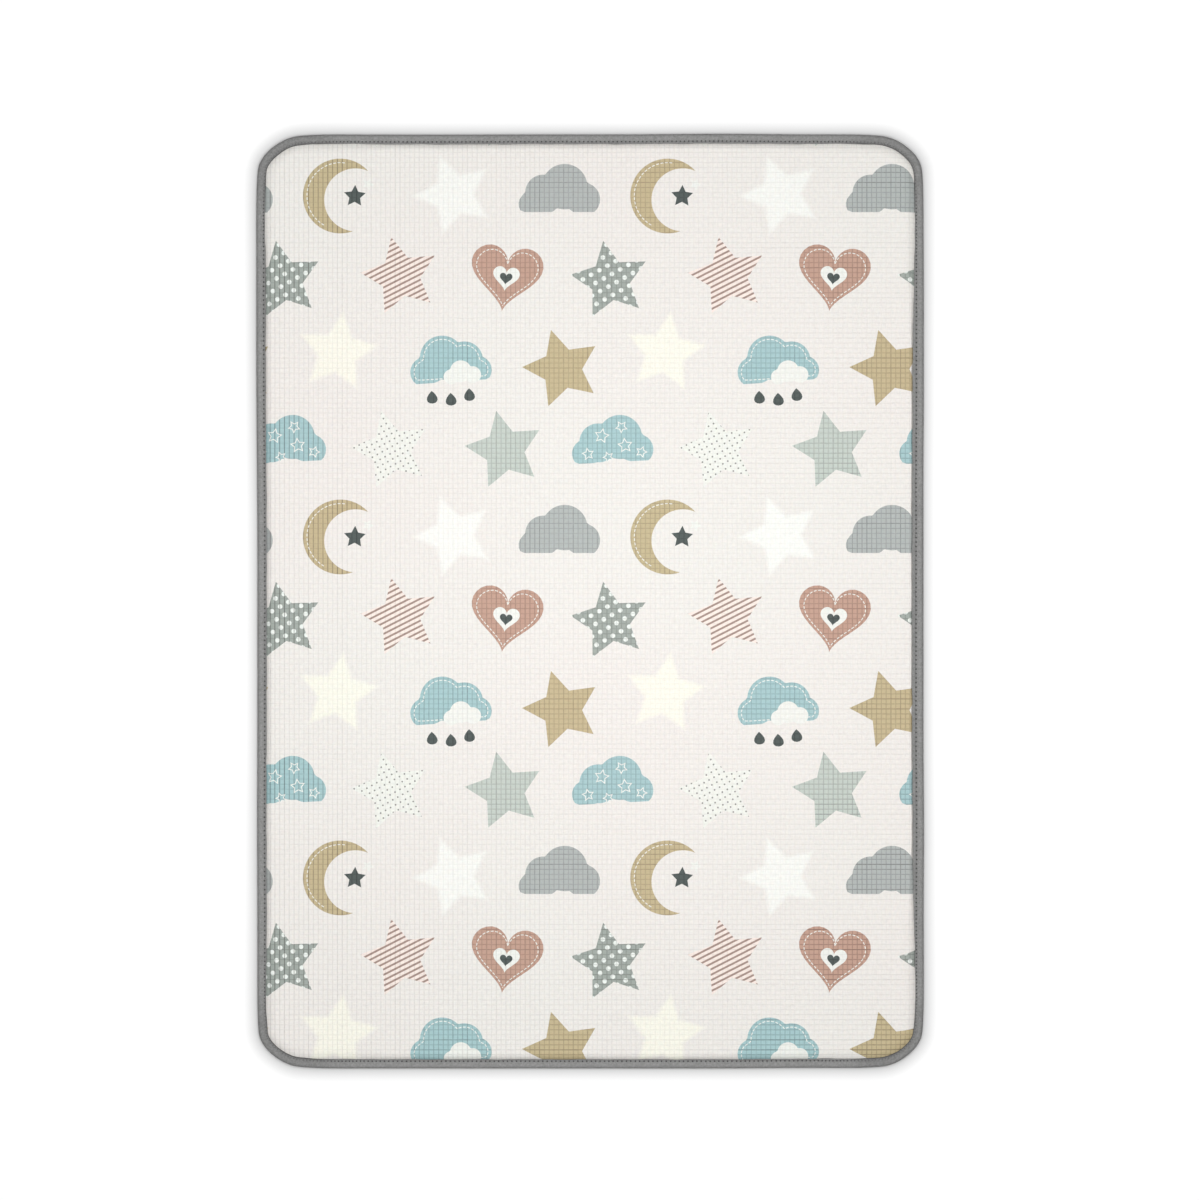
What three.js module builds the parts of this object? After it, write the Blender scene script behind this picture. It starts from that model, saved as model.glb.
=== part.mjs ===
// Foam play mat: a rounded rectangle of soft foam with a printed face, bound all round with woven tape.
// Millimetres, +Z up. The mat lies on its underside, with the origin at the centre of that face.
// The mat's long way runs along Y; -Y is the near side and +Y is the far side.

import * as THREE from 'three';
import * as BufferGeometryUtils from 'three/addons/utils/BufferGeometryUtils.js';

// Overall size
const MAT_WIDTH = 1000;
const MAT_LENGTH = 1400;
const FOAM_THICKNESS = 12;

// Binding tape
const TAPE_THICKNESS = 1;
const CLEARANCE = 0.4;
const BEAD_HEIGHT = 7.2;
const BEAD_REACH = 6.5;
const LOWER_LAP = 13;

// Seam that sews the tape through the foam, and the face on both sides of it
const SEAM_INSET = 11;
const SEAM_HEIGHT = 3.6;
const FLAP_SLOPE = 0.58;
const PUFF_WIDTH = 8.5;

// How finely the outline and the sections are divided
const SHORT_SIDE_STEPS = 10;
const LONG_SIDE_STEPS = 14;
const CORNER_STEPS = 9;
const BEAD_STEPS = 6;
const PUFF_STOPS = [0.15, 0.35, 0.62, 1];

// Corners, in the order the outline passes them: how far each reaches along the two sides, how square it is
// (2 would be an ellipse) and how far the tape laps over the face there
const CORNERS = {
  nearRight: { reachX: 92, reachY: 72, squareness: 2.3, lap: 12.8 },
  farRight: { reachX: 92, reachY: 74, squareness: 2.3, lap: 12.8 },
  farLeft: { reachX: 92, reachY: 68, squareness: 2.25, lap: 12.8 },
  nearLeft: { reachX: 92, reachY: 74, squareness: 2.3, lap: 12.8 },
};

// Sides: how far the tape laps over the face along the middle, and the length over which it gets there
const SIDES = {
  near: { lap: 14, ease: 90 },
  right: { lap: 17.2, ease: 240 },
  far: { lap: 14.2, ease: 90 },
  left: { lap: 13.8, ease: 90 },
};

// Places where the hand-sewn edge swells out or draws in: the side, where along it, how much and how wide
const SWELLS = [
  { side: 'left', at: 470, out: 1.7, spread: 300 },
  { side: 'left', at: -330, out: 0.4, spread: 160 },
  { side: 'right', at: 440, out: 0.6, spread: 200 },
  { side: 'right', at: -345, out: 0.9, spread: 150 },
  { side: 'far', at: 190, out: 0.9, spread: 150 },
  { side: 'far', at: -240, out: -0.4, spread: 200 },
  { side: 'near', at: 340, out: -0.8, spread: 160 },
];

const FOAM_COLOUR = 0xece8e1;
const FOAM_ROUGHNESS = 0.75;
const TAPE_COLOUR = 0x8f8f8e;
const TAPE_ROUGHNESS = 0.9;

// Outline

function smooth(t) {
  const clamped = Math.min(1, Math.max(0, t));
  return clamped * clamped * (3 - 2 * clamped);
}

// Sum of the swells of one side at a place along it, each a smooth hump
function swellAt(side, along) {
  let out = 0;
  for (const swell of SWELLS) {
    if (swell.side === side) {
      out += swell.out * smooth(1 - Math.abs(along - swell.at) / swell.spread);
    }
  }
  return out;
}

// Tape's lap along a side: each end starts at its corner's lap and eases to the side's own
function lapAt(side, fromStart, toEnd, startLap, endLap) {
  const { lap, ease } = SIDES[side];
  const towardsStart = startLap + (lap - startLap) * smooth(fromStart / ease);
  const towardsEnd = endLap + (lap - endLap) * smooth(toEnd / ease);
  return Math.min(towardsStart, towardsEnd);
}

// Stations of a side from one corner to the next, without the end points, which belong to the corners.
// place(along, out) turns a distance along the side and a swell into a point
function sideStations(side, start, end, steps, startLap, endLap, place) {
  const stations = [];
  const length = Math.abs(end - start);
  for (let step = 1; step < steps; step += 1) {
    const along = start + (end - start) * step / steps;
    const fromStart = length * step / steps;
    const lap = lapAt(side, fromStart, length - fromStart, startLap, endLap);
    stations.push({ point: place(along, swellAt(side, along)), lap });
  }
  return stations;
}

// Stations of a corner, as a quarter of a superellipse. Its distance in from the side it leaves grows along
// the sweep, and its distance in from the side it comes to shrinks
function cornerStations(corner, signX, signY, startsOnShortSide) {
  const stations = [];
  for (let step = 0; step <= CORNER_STEPS; step += 1) {
    const sweep = (Math.PI / 2) * step / CORNER_STEPS;
    const shrinking = 1 - Math.sin(sweep) ** (2 / corner.squareness);
    const growing = 1 - Math.cos(sweep) ** (2 / corner.squareness);
    const inX = corner.reachX * (startsOnShortSide ? shrinking : growing);
    const inY = corner.reachY * (startsOnShortSide ? growing : shrinking);
    const point = new THREE.Vector2(signX * (MAT_WIDTH / 2 - inX), signY * (MAT_LENGTH / 2 - inY));
    stations.push({ point, lap: corner.lap });
  }
  return stations;
}

// The tape's outer edge, anticlockwise from the near side, with each station's inward direction
function matOutline() {
  const halfWidth = MAT_WIDTH / 2;
  const halfLength = MAT_LENGTH / 2;
  const { nearRight, farRight, farLeft, nearLeft } = CORNERS;
  const stations = [
    ...sideStations('near', nearLeft.reachX - halfWidth, halfWidth - nearRight.reachX, SHORT_SIDE_STEPS,
      nearLeft.lap, nearRight.lap, (x, out) => new THREE.Vector2(x, -halfLength - out)),
    ...cornerStations(nearRight, 1, -1, true),
    ...sideStations('right', nearRight.reachY - halfLength, halfLength - farRight.reachY, LONG_SIDE_STEPS,
      nearRight.lap, farRight.lap, (y, out) => new THREE.Vector2(halfWidth + out, y)),
    ...cornerStations(farRight, 1, 1, false),
    ...sideStations('far', halfWidth - farRight.reachX, farLeft.reachX - halfWidth, SHORT_SIDE_STEPS,
      farRight.lap, farLeft.lap, (x, out) => new THREE.Vector2(x, halfLength + out)),
    ...cornerStations(farLeft, -1, 1, true),
    ...sideStations('left', halfLength - farLeft.reachY, nearLeft.reachY - halfLength, LONG_SIDE_STEPS,
      farLeft.lap, nearLeft.lap, (y, out) => new THREE.Vector2(-halfWidth - out, y)),
    ...cornerStations(nearLeft, -1, -1, false),
  ];
  fitToSize(stations);
  stations.forEach((station, index) => {
    const before = stations.at(index - 1).point;
    const after = stations[(index + 1) % stations.length].point;
    const heading = after.clone().sub(before).normalize();
    station.inward = new THREE.Vector2(-heading.y, heading.x);
  });
  return stations;
}

// The swells shift the outline a little: it is centred again and brought to the stated width and length
function fitToSize(stations) {
  const box = new THREE.Box2().setFromPoints(stations.map((station) => station.point));
  const centre = box.getCenter(new THREE.Vector2());
  const size = box.getSize(new THREE.Vector2());
  const scale = new THREE.Vector2(MAT_WIDTH / size.x, MAT_LENGTH / size.y);
  for (const station of stations) {
    station.point.sub(centre).multiply(scale);
  }
}

// Sections across the edge. A section's point is an inset from the outer edge and a height

const BEAD_CENTRE = new THREE.Vector2(BEAD_REACH, BEAD_HEIGHT / 2);

// Half of an ellipse round the bead, from below to above, drawn in by the given depth
function beadSection(depth) {
  const points = [];
  for (let step = 0; step <= BEAD_STEPS; step += 1) {
    const angle = -Math.PI / 2 + Math.PI * step / BEAD_STEPS;
    const inset = BEAD_CENTRE.x - (BEAD_REACH - depth) * Math.cos(angle);
    const height = BEAD_CENTRE.y + (BEAD_HEIGHT / 2 - depth) * Math.sin(angle);
    points.push(new THREE.Vector2(inset, height));
  }
  return points;
}

// The dip at the seam and the flap that rises beyond it, for a layer the given distance above the foam
function seamSection(lap, above) {
  const beadTop = BEAD_HEIGHT - TAPE_THICKNESS - CLEARANCE + above;
  const seamBottom = SEAM_HEIGHT + above;
  return [
    new THREE.Vector2((BEAD_REACH + SEAM_INSET) / 2, (beadTop + seamBottom) / 2),
    new THREE.Vector2(SEAM_INSET, seamBottom),
    new THREE.Vector2(lap, seamBottom + FLAP_SLOPE * (lap - SEAM_INSET)),
  ];
}

// The foam from its underside round the bead and up to its full thickness
function foamSection(lap) {
  const tapeDepth = TAPE_THICKNESS + CLEARANCE;
  const flapTop = SEAM_HEIGHT + FLAP_SLOPE * (lap - SEAM_INSET);
  const points = [
    new THREE.Vector2(LOWER_LAP + CLEARANCE, 0),
    new THREE.Vector2(LOWER_LAP + CLEARANCE, tapeDepth),
    ...beadSection(tapeDepth),
    ...seamSection(lap, 0),
    new THREE.Vector2(lap + CLEARANCE, flapTop),
  ];
  for (const stop of PUFF_STOPS) {
    const rise = 1 - (1 - stop) ** 2;
    const inset = lap + CLEARANCE + PUFF_WIDTH * stop;
    points.push(new THREE.Vector2(inset, flapTop + (FOAM_THICKNESS - flapTop) * rise));
  }
  return points;
}

// The tape from its lower lip round the outside to its upper lip, and back along the inside
function tapeSection(lap) {
  const outside = [
    new THREE.Vector2(LOWER_LAP, 0),
    ...beadSection(0),
    ...seamSection(lap, CLEARANCE + TAPE_THICKNESS),
  ];
  const inside = [
    new THREE.Vector2(LOWER_LAP, TAPE_THICKNESS),
    ...beadSection(TAPE_THICKNESS),
    ...seamSection(lap, CLEARANCE),
  ];
  return [...outside, ...inside.reverse()];
}

// Solids

// Vertices of a section carried round the outline, station by station
function sweep(stations, sectionOf) {
  const positions = [];
  for (const { point, inward, lap } of stations) {
    for (const { x: inset, y: height } of sectionOf(lap)) {
      positions.push(point.x + inward.x * inset, point.y + inward.y * inset, height);
    }
  }
  return positions;
}

// Quads between neighbouring stations, split into triangles. A closed section also joins its end to its start
function bands(stationCount, sectionCount, closed) {
  const triangles = [];
  const bandCount = closed ? sectionCount : sectionCount - 1;
  for (let station = 0; station < stationCount; station += 1) {
    const here = station * sectionCount;
    const next = ((station + 1) % stationCount) * sectionCount;
    for (let band = 0; band < bandCount; band += 1) {
      const after = (band + 1) % sectionCount;
      triangles.push(here + band, next + band, next + after);
      triangles.push(here + band, next + after, here + after);
    }
  }
  return triangles;
}

// Flat face inside the ring of vertices at one place of the section: a fan from a new vertex in its middle
function cap(positions, stationCount, sectionCount, place, facesUp) {
  const middle = positions.length / 3;
  positions.push(0, 0, positions[place * 3 + 2]);
  const triangles = [];
  for (let station = 0; station < stationCount; station += 1) {
    const here = station * sectionCount + place;
    const next = ((station + 1) % stationCount) * sectionCount + place;
    triangles.push(middle, ...(facesUp ? [here, next] : [next, here]));
  }
  return triangles;
}

function solid(positions, triangles) {
  const geometry = new THREE.BufferGeometry();
  geometry.setAttribute('position', new THREE.Float32BufferAttribute(positions, 3));
  geometry.setIndex(triangles);
  const merged = BufferGeometryUtils.mergeVertices(geometry);
  merged.computeVertexNormals();
  return merged;
}

function foamGeometry(stations) {
  const sectionCount = foamSection(SIDES.near.lap).length;
  const positions = sweep(stations, foamSection);
  const triangles = [
    ...bands(stations.length, sectionCount, false),
    ...cap(positions, stations.length, sectionCount, 0, false),
    ...cap(positions, stations.length, sectionCount, sectionCount - 1, true),
  ];
  return solid(positions, triangles);
}

function tapeGeometry(stations) {
  const sectionCount = tapeSection(SIDES.near.lap).length;
  return solid(sweep(stations, tapeSection), bands(stations.length, sectionCount, true));
}

// The mat

function part(name, geometry, color, roughness) {
  const material = new THREE.MeshStandardMaterial({ color, roughness, metalness: 0 });
  const mesh = new THREE.Mesh(geometry, material);
  mesh.name = name;
  return mesh;
}

const outline = matOutline();

const mat = new THREE.Group();
mat.add(part('foam_mat', foamGeometry(outline), FOAM_COLOUR, FOAM_ROUGHNESS));
mat.add(part('edge_binding', tapeGeometry(outline), TAPE_COLOUR, TAPE_ROUGHNESS));

export default mat;
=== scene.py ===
"""A foam play mat: soft foam with a printed, finely embossed face, bound with sewn grey tape.

The mat lies on its underside, with the origin at the centre of that face, +Y along its long sides
and +Z up. Lengths are in metres. The print repeats in tiles, and the embossed grid fits the tile.
"""

import logging
import math
from collections.abc import Iterable, Iterator, Sequence
from dataclasses import astuple, dataclass, field, replace
from enum import Enum
from itertools import product

import bpy
import numpy as np
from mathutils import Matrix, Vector, kdtree
from mathutils.geometry import delaunay_2d_cdt


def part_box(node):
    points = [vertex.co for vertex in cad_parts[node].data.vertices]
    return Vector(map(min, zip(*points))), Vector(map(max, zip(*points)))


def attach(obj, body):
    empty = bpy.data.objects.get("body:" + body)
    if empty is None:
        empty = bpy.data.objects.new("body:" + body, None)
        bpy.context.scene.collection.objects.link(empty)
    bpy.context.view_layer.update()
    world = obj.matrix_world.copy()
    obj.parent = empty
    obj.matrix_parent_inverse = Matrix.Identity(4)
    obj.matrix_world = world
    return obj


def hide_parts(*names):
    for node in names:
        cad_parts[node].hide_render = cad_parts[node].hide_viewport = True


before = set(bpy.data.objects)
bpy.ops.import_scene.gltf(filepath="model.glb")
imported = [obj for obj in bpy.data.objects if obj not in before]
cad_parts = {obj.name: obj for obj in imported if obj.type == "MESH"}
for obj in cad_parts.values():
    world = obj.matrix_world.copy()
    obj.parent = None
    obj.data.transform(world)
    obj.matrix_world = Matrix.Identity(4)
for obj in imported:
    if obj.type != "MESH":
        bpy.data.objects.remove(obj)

log = logging.getLogger("play_mat")

MM = 0.001
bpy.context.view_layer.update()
MAT_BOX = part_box("edge_binding")
FOAM_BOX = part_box("foam_mat")

# The print's repeat, which holds a whole number of the embossed grid's cells each way
TILE_WIDTH = 489.6 * MM
TILE_LENGTH = 510 * MM
GRID_CELLS = 68

# The pieces' map, and how many stitches one unit of the tape's map holds
BAKE_MAP = "OFBake"
STITCHES_PER_UNIT = 4

# Where rings of points lie on the face's puffed rim, as shares of its width
RIM_STOPS = (0.1, 0.22, 0.36, 0.52, 0.7, 0.88, 1.0)

# Light that an upward face gets, beside which a paint's own lightness is set
FACE_LIGHT = 1.24

# How triangles are made: only inside the outline, with points nearer than this taken as one
CUT_INSIDE = 1
CUT_TOLERANCE = 1e-7

# The Mix node's sockets for colours
MIX_SHARE, MIX_FIRST, MIX_SECOND, MIX_RESULT = 0, 6, 7, 2


def smooth(share: np.ndarray | float) -> np.ndarray:
    """Ease from 0 to 1 without a corner at either end.

    Args:
        share: How far along, clamped to 0 and 1.

    Returns:
        The eased share.
    """
    clamped = np.clip(share, 0.0, 1.0)
    return clamped * clamped * (3 - 2 * clamped)


def turned(points: np.ndarray, degrees: float) -> np.ndarray:
    """Turn flat points about the origin.

    Args:
        points: Rows of x and y.
        degrees: How far to turn them, anticlockwise.

    Returns:
        The turned rows.
    """
    angle = math.radians(degrees)
    across = np.array([math.cos(angle), -math.sin(angle)])
    along = np.array([math.sin(angle), math.cos(angle)])
    return np.stack([points @ across, points @ along], axis=-1)


def nearest_finder(points: np.ndarray) -> kdtree.KDTree:
    """Put flat points in a tree that finds the nearest.

    Args:
        points: Rows of x and y.

    Returns:
        The tree, which knows each point by its row.
    """
    tree = kdtree.KDTree(len(points))
    for index, (x, y) in enumerate(points):
        tree.insert((x, y, 0), index)
    tree.balance()
    return tree


@dataclass(frozen=True)
class Paint:
    """A colour as it looks on the mat, in the usual 0 to 255 steps."""

    red: float
    green: float
    blue: float

    def towards(self, other: "Paint", share: float) -> "Paint":
        """Give the colour part of the way to another."""
        return Paint(*(a + (b - a) * share for a, b in zip(astuple(self), astuple(other), strict=True)))

    def linear(self, light: float = FACE_LIGHT) -> tuple[float, float, float, float]:
        """Give the paint's own reflection, by the standard curve of a display.

        Args:
            light: How much light the surface gets where it looks like this paint.

        Returns:
            Linear red, green, blue and an alpha of 1.
        """
        shares = np.array(astuple(self)) / 255
        linear = np.where(shares <= 0.04045, shares / 12.92, ((shares + 0.055) / 1.055) ** 2.4)
        return (*(float(value) for value in linear / light), 1.0)


# Edge of the mat


@dataclass(frozen=True)
class Swell:
    """A place where the hand-sewn edge swells out or draws in."""

    at: float
    out: float
    spread: float

    def push(self, along: np.ndarray) -> np.ndarray:
        """Give how far this swell pushes the edge out at places along its side."""
        return self.out * smooth(1 - np.abs(along - self.at) / self.spread)


@dataclass(frozen=True)
class Corner:
    """A corner of the outline: joined parabolas that bend at points in from the long and the short side.

    The tape's lap eases from the long side's to the short side's, lap_rate times as fast as the corner goes.
    """

    reach_x: float = 125 * MM
    reach_y: float = 115 * MM
    bends: tuple[tuple[float, float], ...] = (
        (0.0, 74 * MM),
        (3.6 * MM, 36 * MM),
        (42 * MM, 4.4 * MM),
        (85 * MM, 0.0),
    )
    long_lap: float = 12.6 * MM
    short_lap: float = 14.2 * MM
    lap_rate: float = 1.6
    pitch: float = 5.4 * MM
    puff: float = 16 * MM
    merge: float = 40 * MM

    def line(self, step: float) -> np.ndarray:
        """Lay out the corner from the long side to the short side.

        Args:
            step: About how far apart its points are.

        Returns:
            Rows of how far in from the long side and how far in from the short side.
        """
        bends = np.array(self.bends)
        joints = np.array([(0, self.reach_y), *((bends[:-1] + bends[1:]) / 2), (self.reach_x, 0)])
        arcs = []
        for start, bend, end in zip(joints[:-1], bends, joints[1:], strict=True):
            count = max(2, round(float(np.linalg.norm(end - start)) / step))
            share = np.arange(count)[:, None] / count
            arcs.append((1 - share) ** 2 * start + 2 * share * (1 - share) * bend + share**2 * end)
        return np.concatenate([*arcs, joints[-1:]])


@dataclass(frozen=True)
class Side:
    """A side of the outline: the tape's lap and its ease, the stitches, the face's puff and the swells."""

    lap: float
    ease: float
    pitch: float
    puff: float
    swells: tuple[Swell, ...]

    def push(self, along: np.ndarray) -> np.ndarray:
        """Give how far the side's swells push the edge out."""
        return sum((swell.push(along) for swell in self.swells), np.zeros(len(along)))


@dataclass
class Stations:
    """Places round the edge, one row for each, with what a section there needs."""

    point: np.ndarray
    inward: np.ndarray
    lap: np.ndarray
    pitch: np.ndarray
    puff: np.ndarray
    corner: np.ndarray

    def inset(self, distance: np.ndarray | float) -> np.ndarray:
        """Give the flat points this far in from the edge."""
        return self.point + self.inward * np.broadcast_to(distance, len(self.point))[:, None]


@dataclass
class EdgeLine:
    """The tape's outer edge, anticlockwise from the near side.

    Its heading at a place is taken between the points that lie sight steps before and after it. Its waves
    are the wander of the tape's lip, each by how often it comes round the mat, where it starts and its share.
    """

    width: float
    length: float
    step: float = 2 * MM
    sight: int = 3
    wander: float = 0.22 * MM
    waves: tuple[tuple[int, float, float], ...] = ((53, 0.4, 1.0), (89, 2.1, 0.7), (137, 0.0, 0.5))
    corner: Corner = Corner()
    near: Side = Side(
        lap=13.7 * MM,
        ease=90 * MM,
        pitch=6.6 * MM,
        puff=11 * MM,
        swells=(Swell(340 * MM, -0.8 * MM, 160 * MM),),
    )
    right: Side = Side(
        lap=16.9 * MM,
        ease=240 * MM,
        pitch=6.8 * MM,
        puff=2.8 * MM,
        swells=(
            Swell(440 * MM, 0.6 * MM, 200 * MM),
            Swell(290 * MM, 0.45 * MM, 120 * MM),
            Swell(-345 * MM, 0.9 * MM, 150 * MM),
            Swell(-560 * MM, 0.65 * MM, 180 * MM),
        ),
    )
    far: Side = Side(
        lap=14.7 * MM,
        ease=90 * MM,
        pitch=6.3 * MM,
        puff=10.5 * MM,
        swells=(Swell(190 * MM, 0.9 * MM, 150 * MM), Swell(-240 * MM, -0.4 * MM, 200 * MM)),
    )
    left: Side = Side(
        lap=13.8 * MM,
        ease=90 * MM,
        pitch=6.8 * MM,
        puff=10.5 * MM,
        swells=(
            Swell(560 * MM, 1.75 * MM, 300 * MM),
            Swell(310 * MM, 1.35 * MM, 230 * MM),
            Swell(-330 * MM, 0.4 * MM, 160 * MM),
        ),
    )
    columns: dict[str, np.ndarray] = field(init=False)
    round_length: float = field(init=False)
    tree: kdtree.KDTree = field(init=False)

    def __post_init__(self) -> None:
        """Lay out the edge and keep it for sampling."""
        rows = np.concatenate(list(self._stretches()))
        x, y = rows[:, 0].copy(), rows[:, 1].copy()
        rows[:, 0] += np.where(x > 0, self.right.push(y), -self.left.push(y))
        rows[:, 1] += np.where(y > 0, self.far.push(x), -self.near.push(x))
        low, high = rows[:, :2].min(0), rows[:, :2].max(0)
        rows[:, :2] = (rows[:, :2] - (low + high) / 2) * (self.width, self.length) / (high - low)
        steps = np.linalg.norm(np.roll(rows[:, :2], -1, axis=0) - rows[:, :2], axis=1)
        self.round_length = float(steps.sum())
        along = np.concatenate([[0], np.cumsum(steps)[:-1]])
        names = ("along", "x", "y", "lap", "pitch", "puff", "corner")
        self.columns = dict(zip(names, (along, *rows.T), strict=True))
        self.tree = nearest_finder(rows[:, :2])

    def _side(self, side: Side, lap: float, start: Sequence[float], end: Sequence[float]) -> np.ndarray:
        """Lay out one side between two corners.

        Args:
            side: The side's sizes.
            lap: The tape's lap at the corners.
            start: Where it starts.
            end: Where it ends.

        Returns:
            Rows of x, y, lap, pitch, puff and corner share.
        """
        length = math.dist(start, end)
        along = np.linspace(0, length, round(length / self.step) + 1)[1:-1]
        share = smooth(np.minimum(along, length - along) / side.ease)
        corner = self.corner
        return np.column_stack([
            np.array(start) + along[:, None] / length * np.subtract(end, start),
            lap + (side.lap - lap) * share,
            corner.pitch + (side.pitch - corner.pitch) * share,
            corner.puff + (side.puff - corner.puff) * share,
            np.zeros(len(along)),
        ])

    def _corner(self, sign_x: int, sign_y: int) -> np.ndarray:
        """Lay out one corner anticlockwise.

        Args:
            sign_x: 1 for a corner on the right, -1 for one on the left.
            sign_y: 1 for a far corner, -1 for a near one.

        Returns:
            Rows of x, y, lap, pitch, puff and corner share.
        """
        corner = self.corner
        in_x, in_y = corner.line(self.step).T
        to_short_side = np.linspace(0, 1, len(in_x))
        from_end = np.minimum(in_x + corner.reach_y - in_y, in_y + corner.reach_x - in_x)
        rows = np.column_stack([
            sign_x * (self.width / 2 - in_x),
            sign_y * (self.length / 2 - in_y),
            corner.long_lap + (corner.short_lap - corner.long_lap) * smooth(to_short_side * corner.lap_rate),
            np.full((len(in_x), 2), [corner.pitch, corner.puff]),
            smooth(from_end / corner.merge),
        ])
        return rows if sign_x * sign_y > 0 else rows[::-1]

    def _stretches(self) -> Iterator[np.ndarray]:
        """Lay out the whole edge.

        Yields:
            The rows of each side and of the corner after it, anticlockwise from the near side.
        """
        corners = [self._corner(*signs) for signs in ((-1, -1), (1, -1), (1, 1), (-1, 1))]
        sides = (self.near, self.right, self.far, self.left)
        laps = (self.corner.short_lap, self.corner.long_lap) * 2
        for index, (side, lap) in enumerate(zip(sides, laps, strict=True)):
            before, after = corners[index], corners[(index + 1) % len(corners)]
            yield self._side(side, lap, before[-1, :2], after[0, :2])
            yield after

    def at(self, along: np.ndarray) -> Stations:
        """Sample the edge.

        Args:
            along: Distances round the edge from its start.

        Returns:
            The stations there.
        """
        along = np.mod(along, self.round_length)

        def read(name: str, shift: float = 0.0) -> np.ndarray:
            """Read one column of the laid-out edge at the stations, or this far past them."""
            places, values = self.columns["along"], self.columns[name]
            return np.interp(along + shift, places, values, period=self.round_length)

        reach = self.sight * self.step
        before, after = (np.column_stack([read("x", shift), read("y", shift)]) for shift in (-reach, reach))
        heading = after - before
        heading /= np.linalg.norm(heading, axis=1)[:, None]
        return Stations(
            point=np.column_stack([read("x"), read("y")]),
            inward=np.column_stack([-heading[:, 1], heading[:, 0]]),
            lap=read("lap") + self._wander(along),
            pitch=read("pitch"),
            puff=read("puff"),
            corner=read("corner"),
        )

    def _wander(self, along: np.ndarray) -> np.ndarray:
        """Give the small wander of the tape's upper lip that hand feeding leaves."""
        turn = 2 * math.pi * along / self.round_length
        return self.wander * sum(share * np.sin(times * turn + start) for times, start, share in self.waves)

    def spaced(self, pitch: float) -> Stations:
        """Give even stations about this far apart."""
        count = round(self.round_length / pitch)
        return self.at(np.arange(count) * self.round_length / count)

    def insets(self, points: np.ndarray) -> tuple[np.ndarray, Stations]:
        """Measure how far in flat points lie.

        Args:
            points: Flat points on the mat.

        Returns:
            Each point's distance in from the edge, and its nearest stations.
        """
        nearest = [self.tree.find((x, y, 0))[1] for x, y in points]
        stations = self.at(self.columns["along"][nearest])
        return ((points - stations.point) * stations.inward).sum(axis=1), stations


# Sections across the edge


@dataclass(frozen=True)
class EdgeSizes:
    """Sizes of the bound edge, from the floor up and from the outer edge in."""

    tape: float = 1.0 * MM
    clearance: float = 0.4 * MM
    bead_height: float = 7.2 * MM
    bead_reach: float = 6.5 * MM
    lower_lap: float = 13 * MM
    seam_inset: float = 11 * MM
    seam_height: float = 3.6 * MM
    flap_slope: float = 0.58
    thickness: float = FOAM_BOX[1][2]
    film: float = 0.3 * MM

    def bead(self, depth: float, steps: int) -> list[tuple[float, float]]:
        """Give half an ellipse round the bead.

        Args:
            depth: How far inside the tape's outer face it lies.
            steps: How many steps it takes from below to above.

        Returns:
            Pairs of inset and height, from below to above.
        """
        angle = np.linspace(-math.pi / 2, math.pi / 2, steps + 1)
        middle = self.bead_height / 2
        inset = self.bead_reach - (self.bead_reach - depth) * np.cos(angle)
        return list(zip(inset, middle + (middle - depth) * np.sin(angle), strict=True))

    def flap_height(self, inset: np.ndarray | float) -> np.ndarray | float:
        """Give the foam's height under the tape's flap, which rises from the seam."""
        return self.seam_height + self.flap_slope * (inset - self.seam_inset)

    def face_height(self, inset: np.ndarray, lap: np.ndarray, puff: np.ndarray) -> np.ndarray:
        """Give the face's height, from under the flap up the puffed rim to the flat.

        Args:
            inset: Distance in from the outer edge.
            lap: Where the tape's flap ends there.
            puff: Over what distance the face reaches its full height.

        Returns:
            The height of the face's top.
        """
        start = lap + self.clearance
        rim = self.flap_height(start)
        rise = 1 - (1 - np.clip((inset - start) / puff, 0, 1)) ** 2
        return np.where(inset < start, self.flap_height(inset), rim + (self.thickness - rim) * rise)


SIZES = EdgeSizes()


# Meshes


def mesh_object(name: str, vertices: np.ndarray, faces: Sequence[Sequence[int]],
                smooth_faces: bool = True) -> bpy.types.Object:
    """Make an object from vertices and faces, with its place in its mesh.

    Args:
        name: The piece's name.
        vertices: Rows of x, y and z.
        faces: The vertex numbers of each face.
        smooth_faces: Whether its faces shade smoothly.

    Returns:
        The linked object.
    """
    mesh = bpy.data.meshes.new(name)
    mesh.from_pydata(np.asarray(vertices).tolist(), [], [list(map(int, face)) for face in faces])
    mesh.validate()
    mesh.update()
    mesh.polygons.foreach_set("use_smooth", np.full(len(mesh.polygons), smooth_faces))
    made = bpy.data.objects.new(name, mesh)
    bpy.context.scene.collection.objects.link(made)
    return made


class Stored(Enum):
    """What an attribute of a mesh holds: its type, and the key that sets it."""

    NUMBER = ("FLOAT", "value")
    VECTOR = ("FLOAT_VECTOR", "vector")
    COLOUR = ("FLOAT_COLOR", "color")

    def on(self, mesh: bpy.types.Mesh, name: str, domain: str, values: np.ndarray) -> None:
        """Keep values on a mesh.

        Args:
            mesh: The mesh.
            name: The attribute's name.
            domain: What each value belongs to, such as FACE.
            values: The values in the mesh's order.
        """
        kind, key = self.value
        mesh.attributes.new(name, kind, domain).data.foreach_set(key, np.asarray(values, np.float32).ravel())


def store_map(mesh: bpy.types.Mesh, places: np.ndarray) -> None:
    """Keep the place of each face's corners on the piece's map."""
    mesh.uv_layers.new(name=BAKE_MAP).uv.foreach_set("vector", places.astype(np.float32).ravel())


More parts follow.
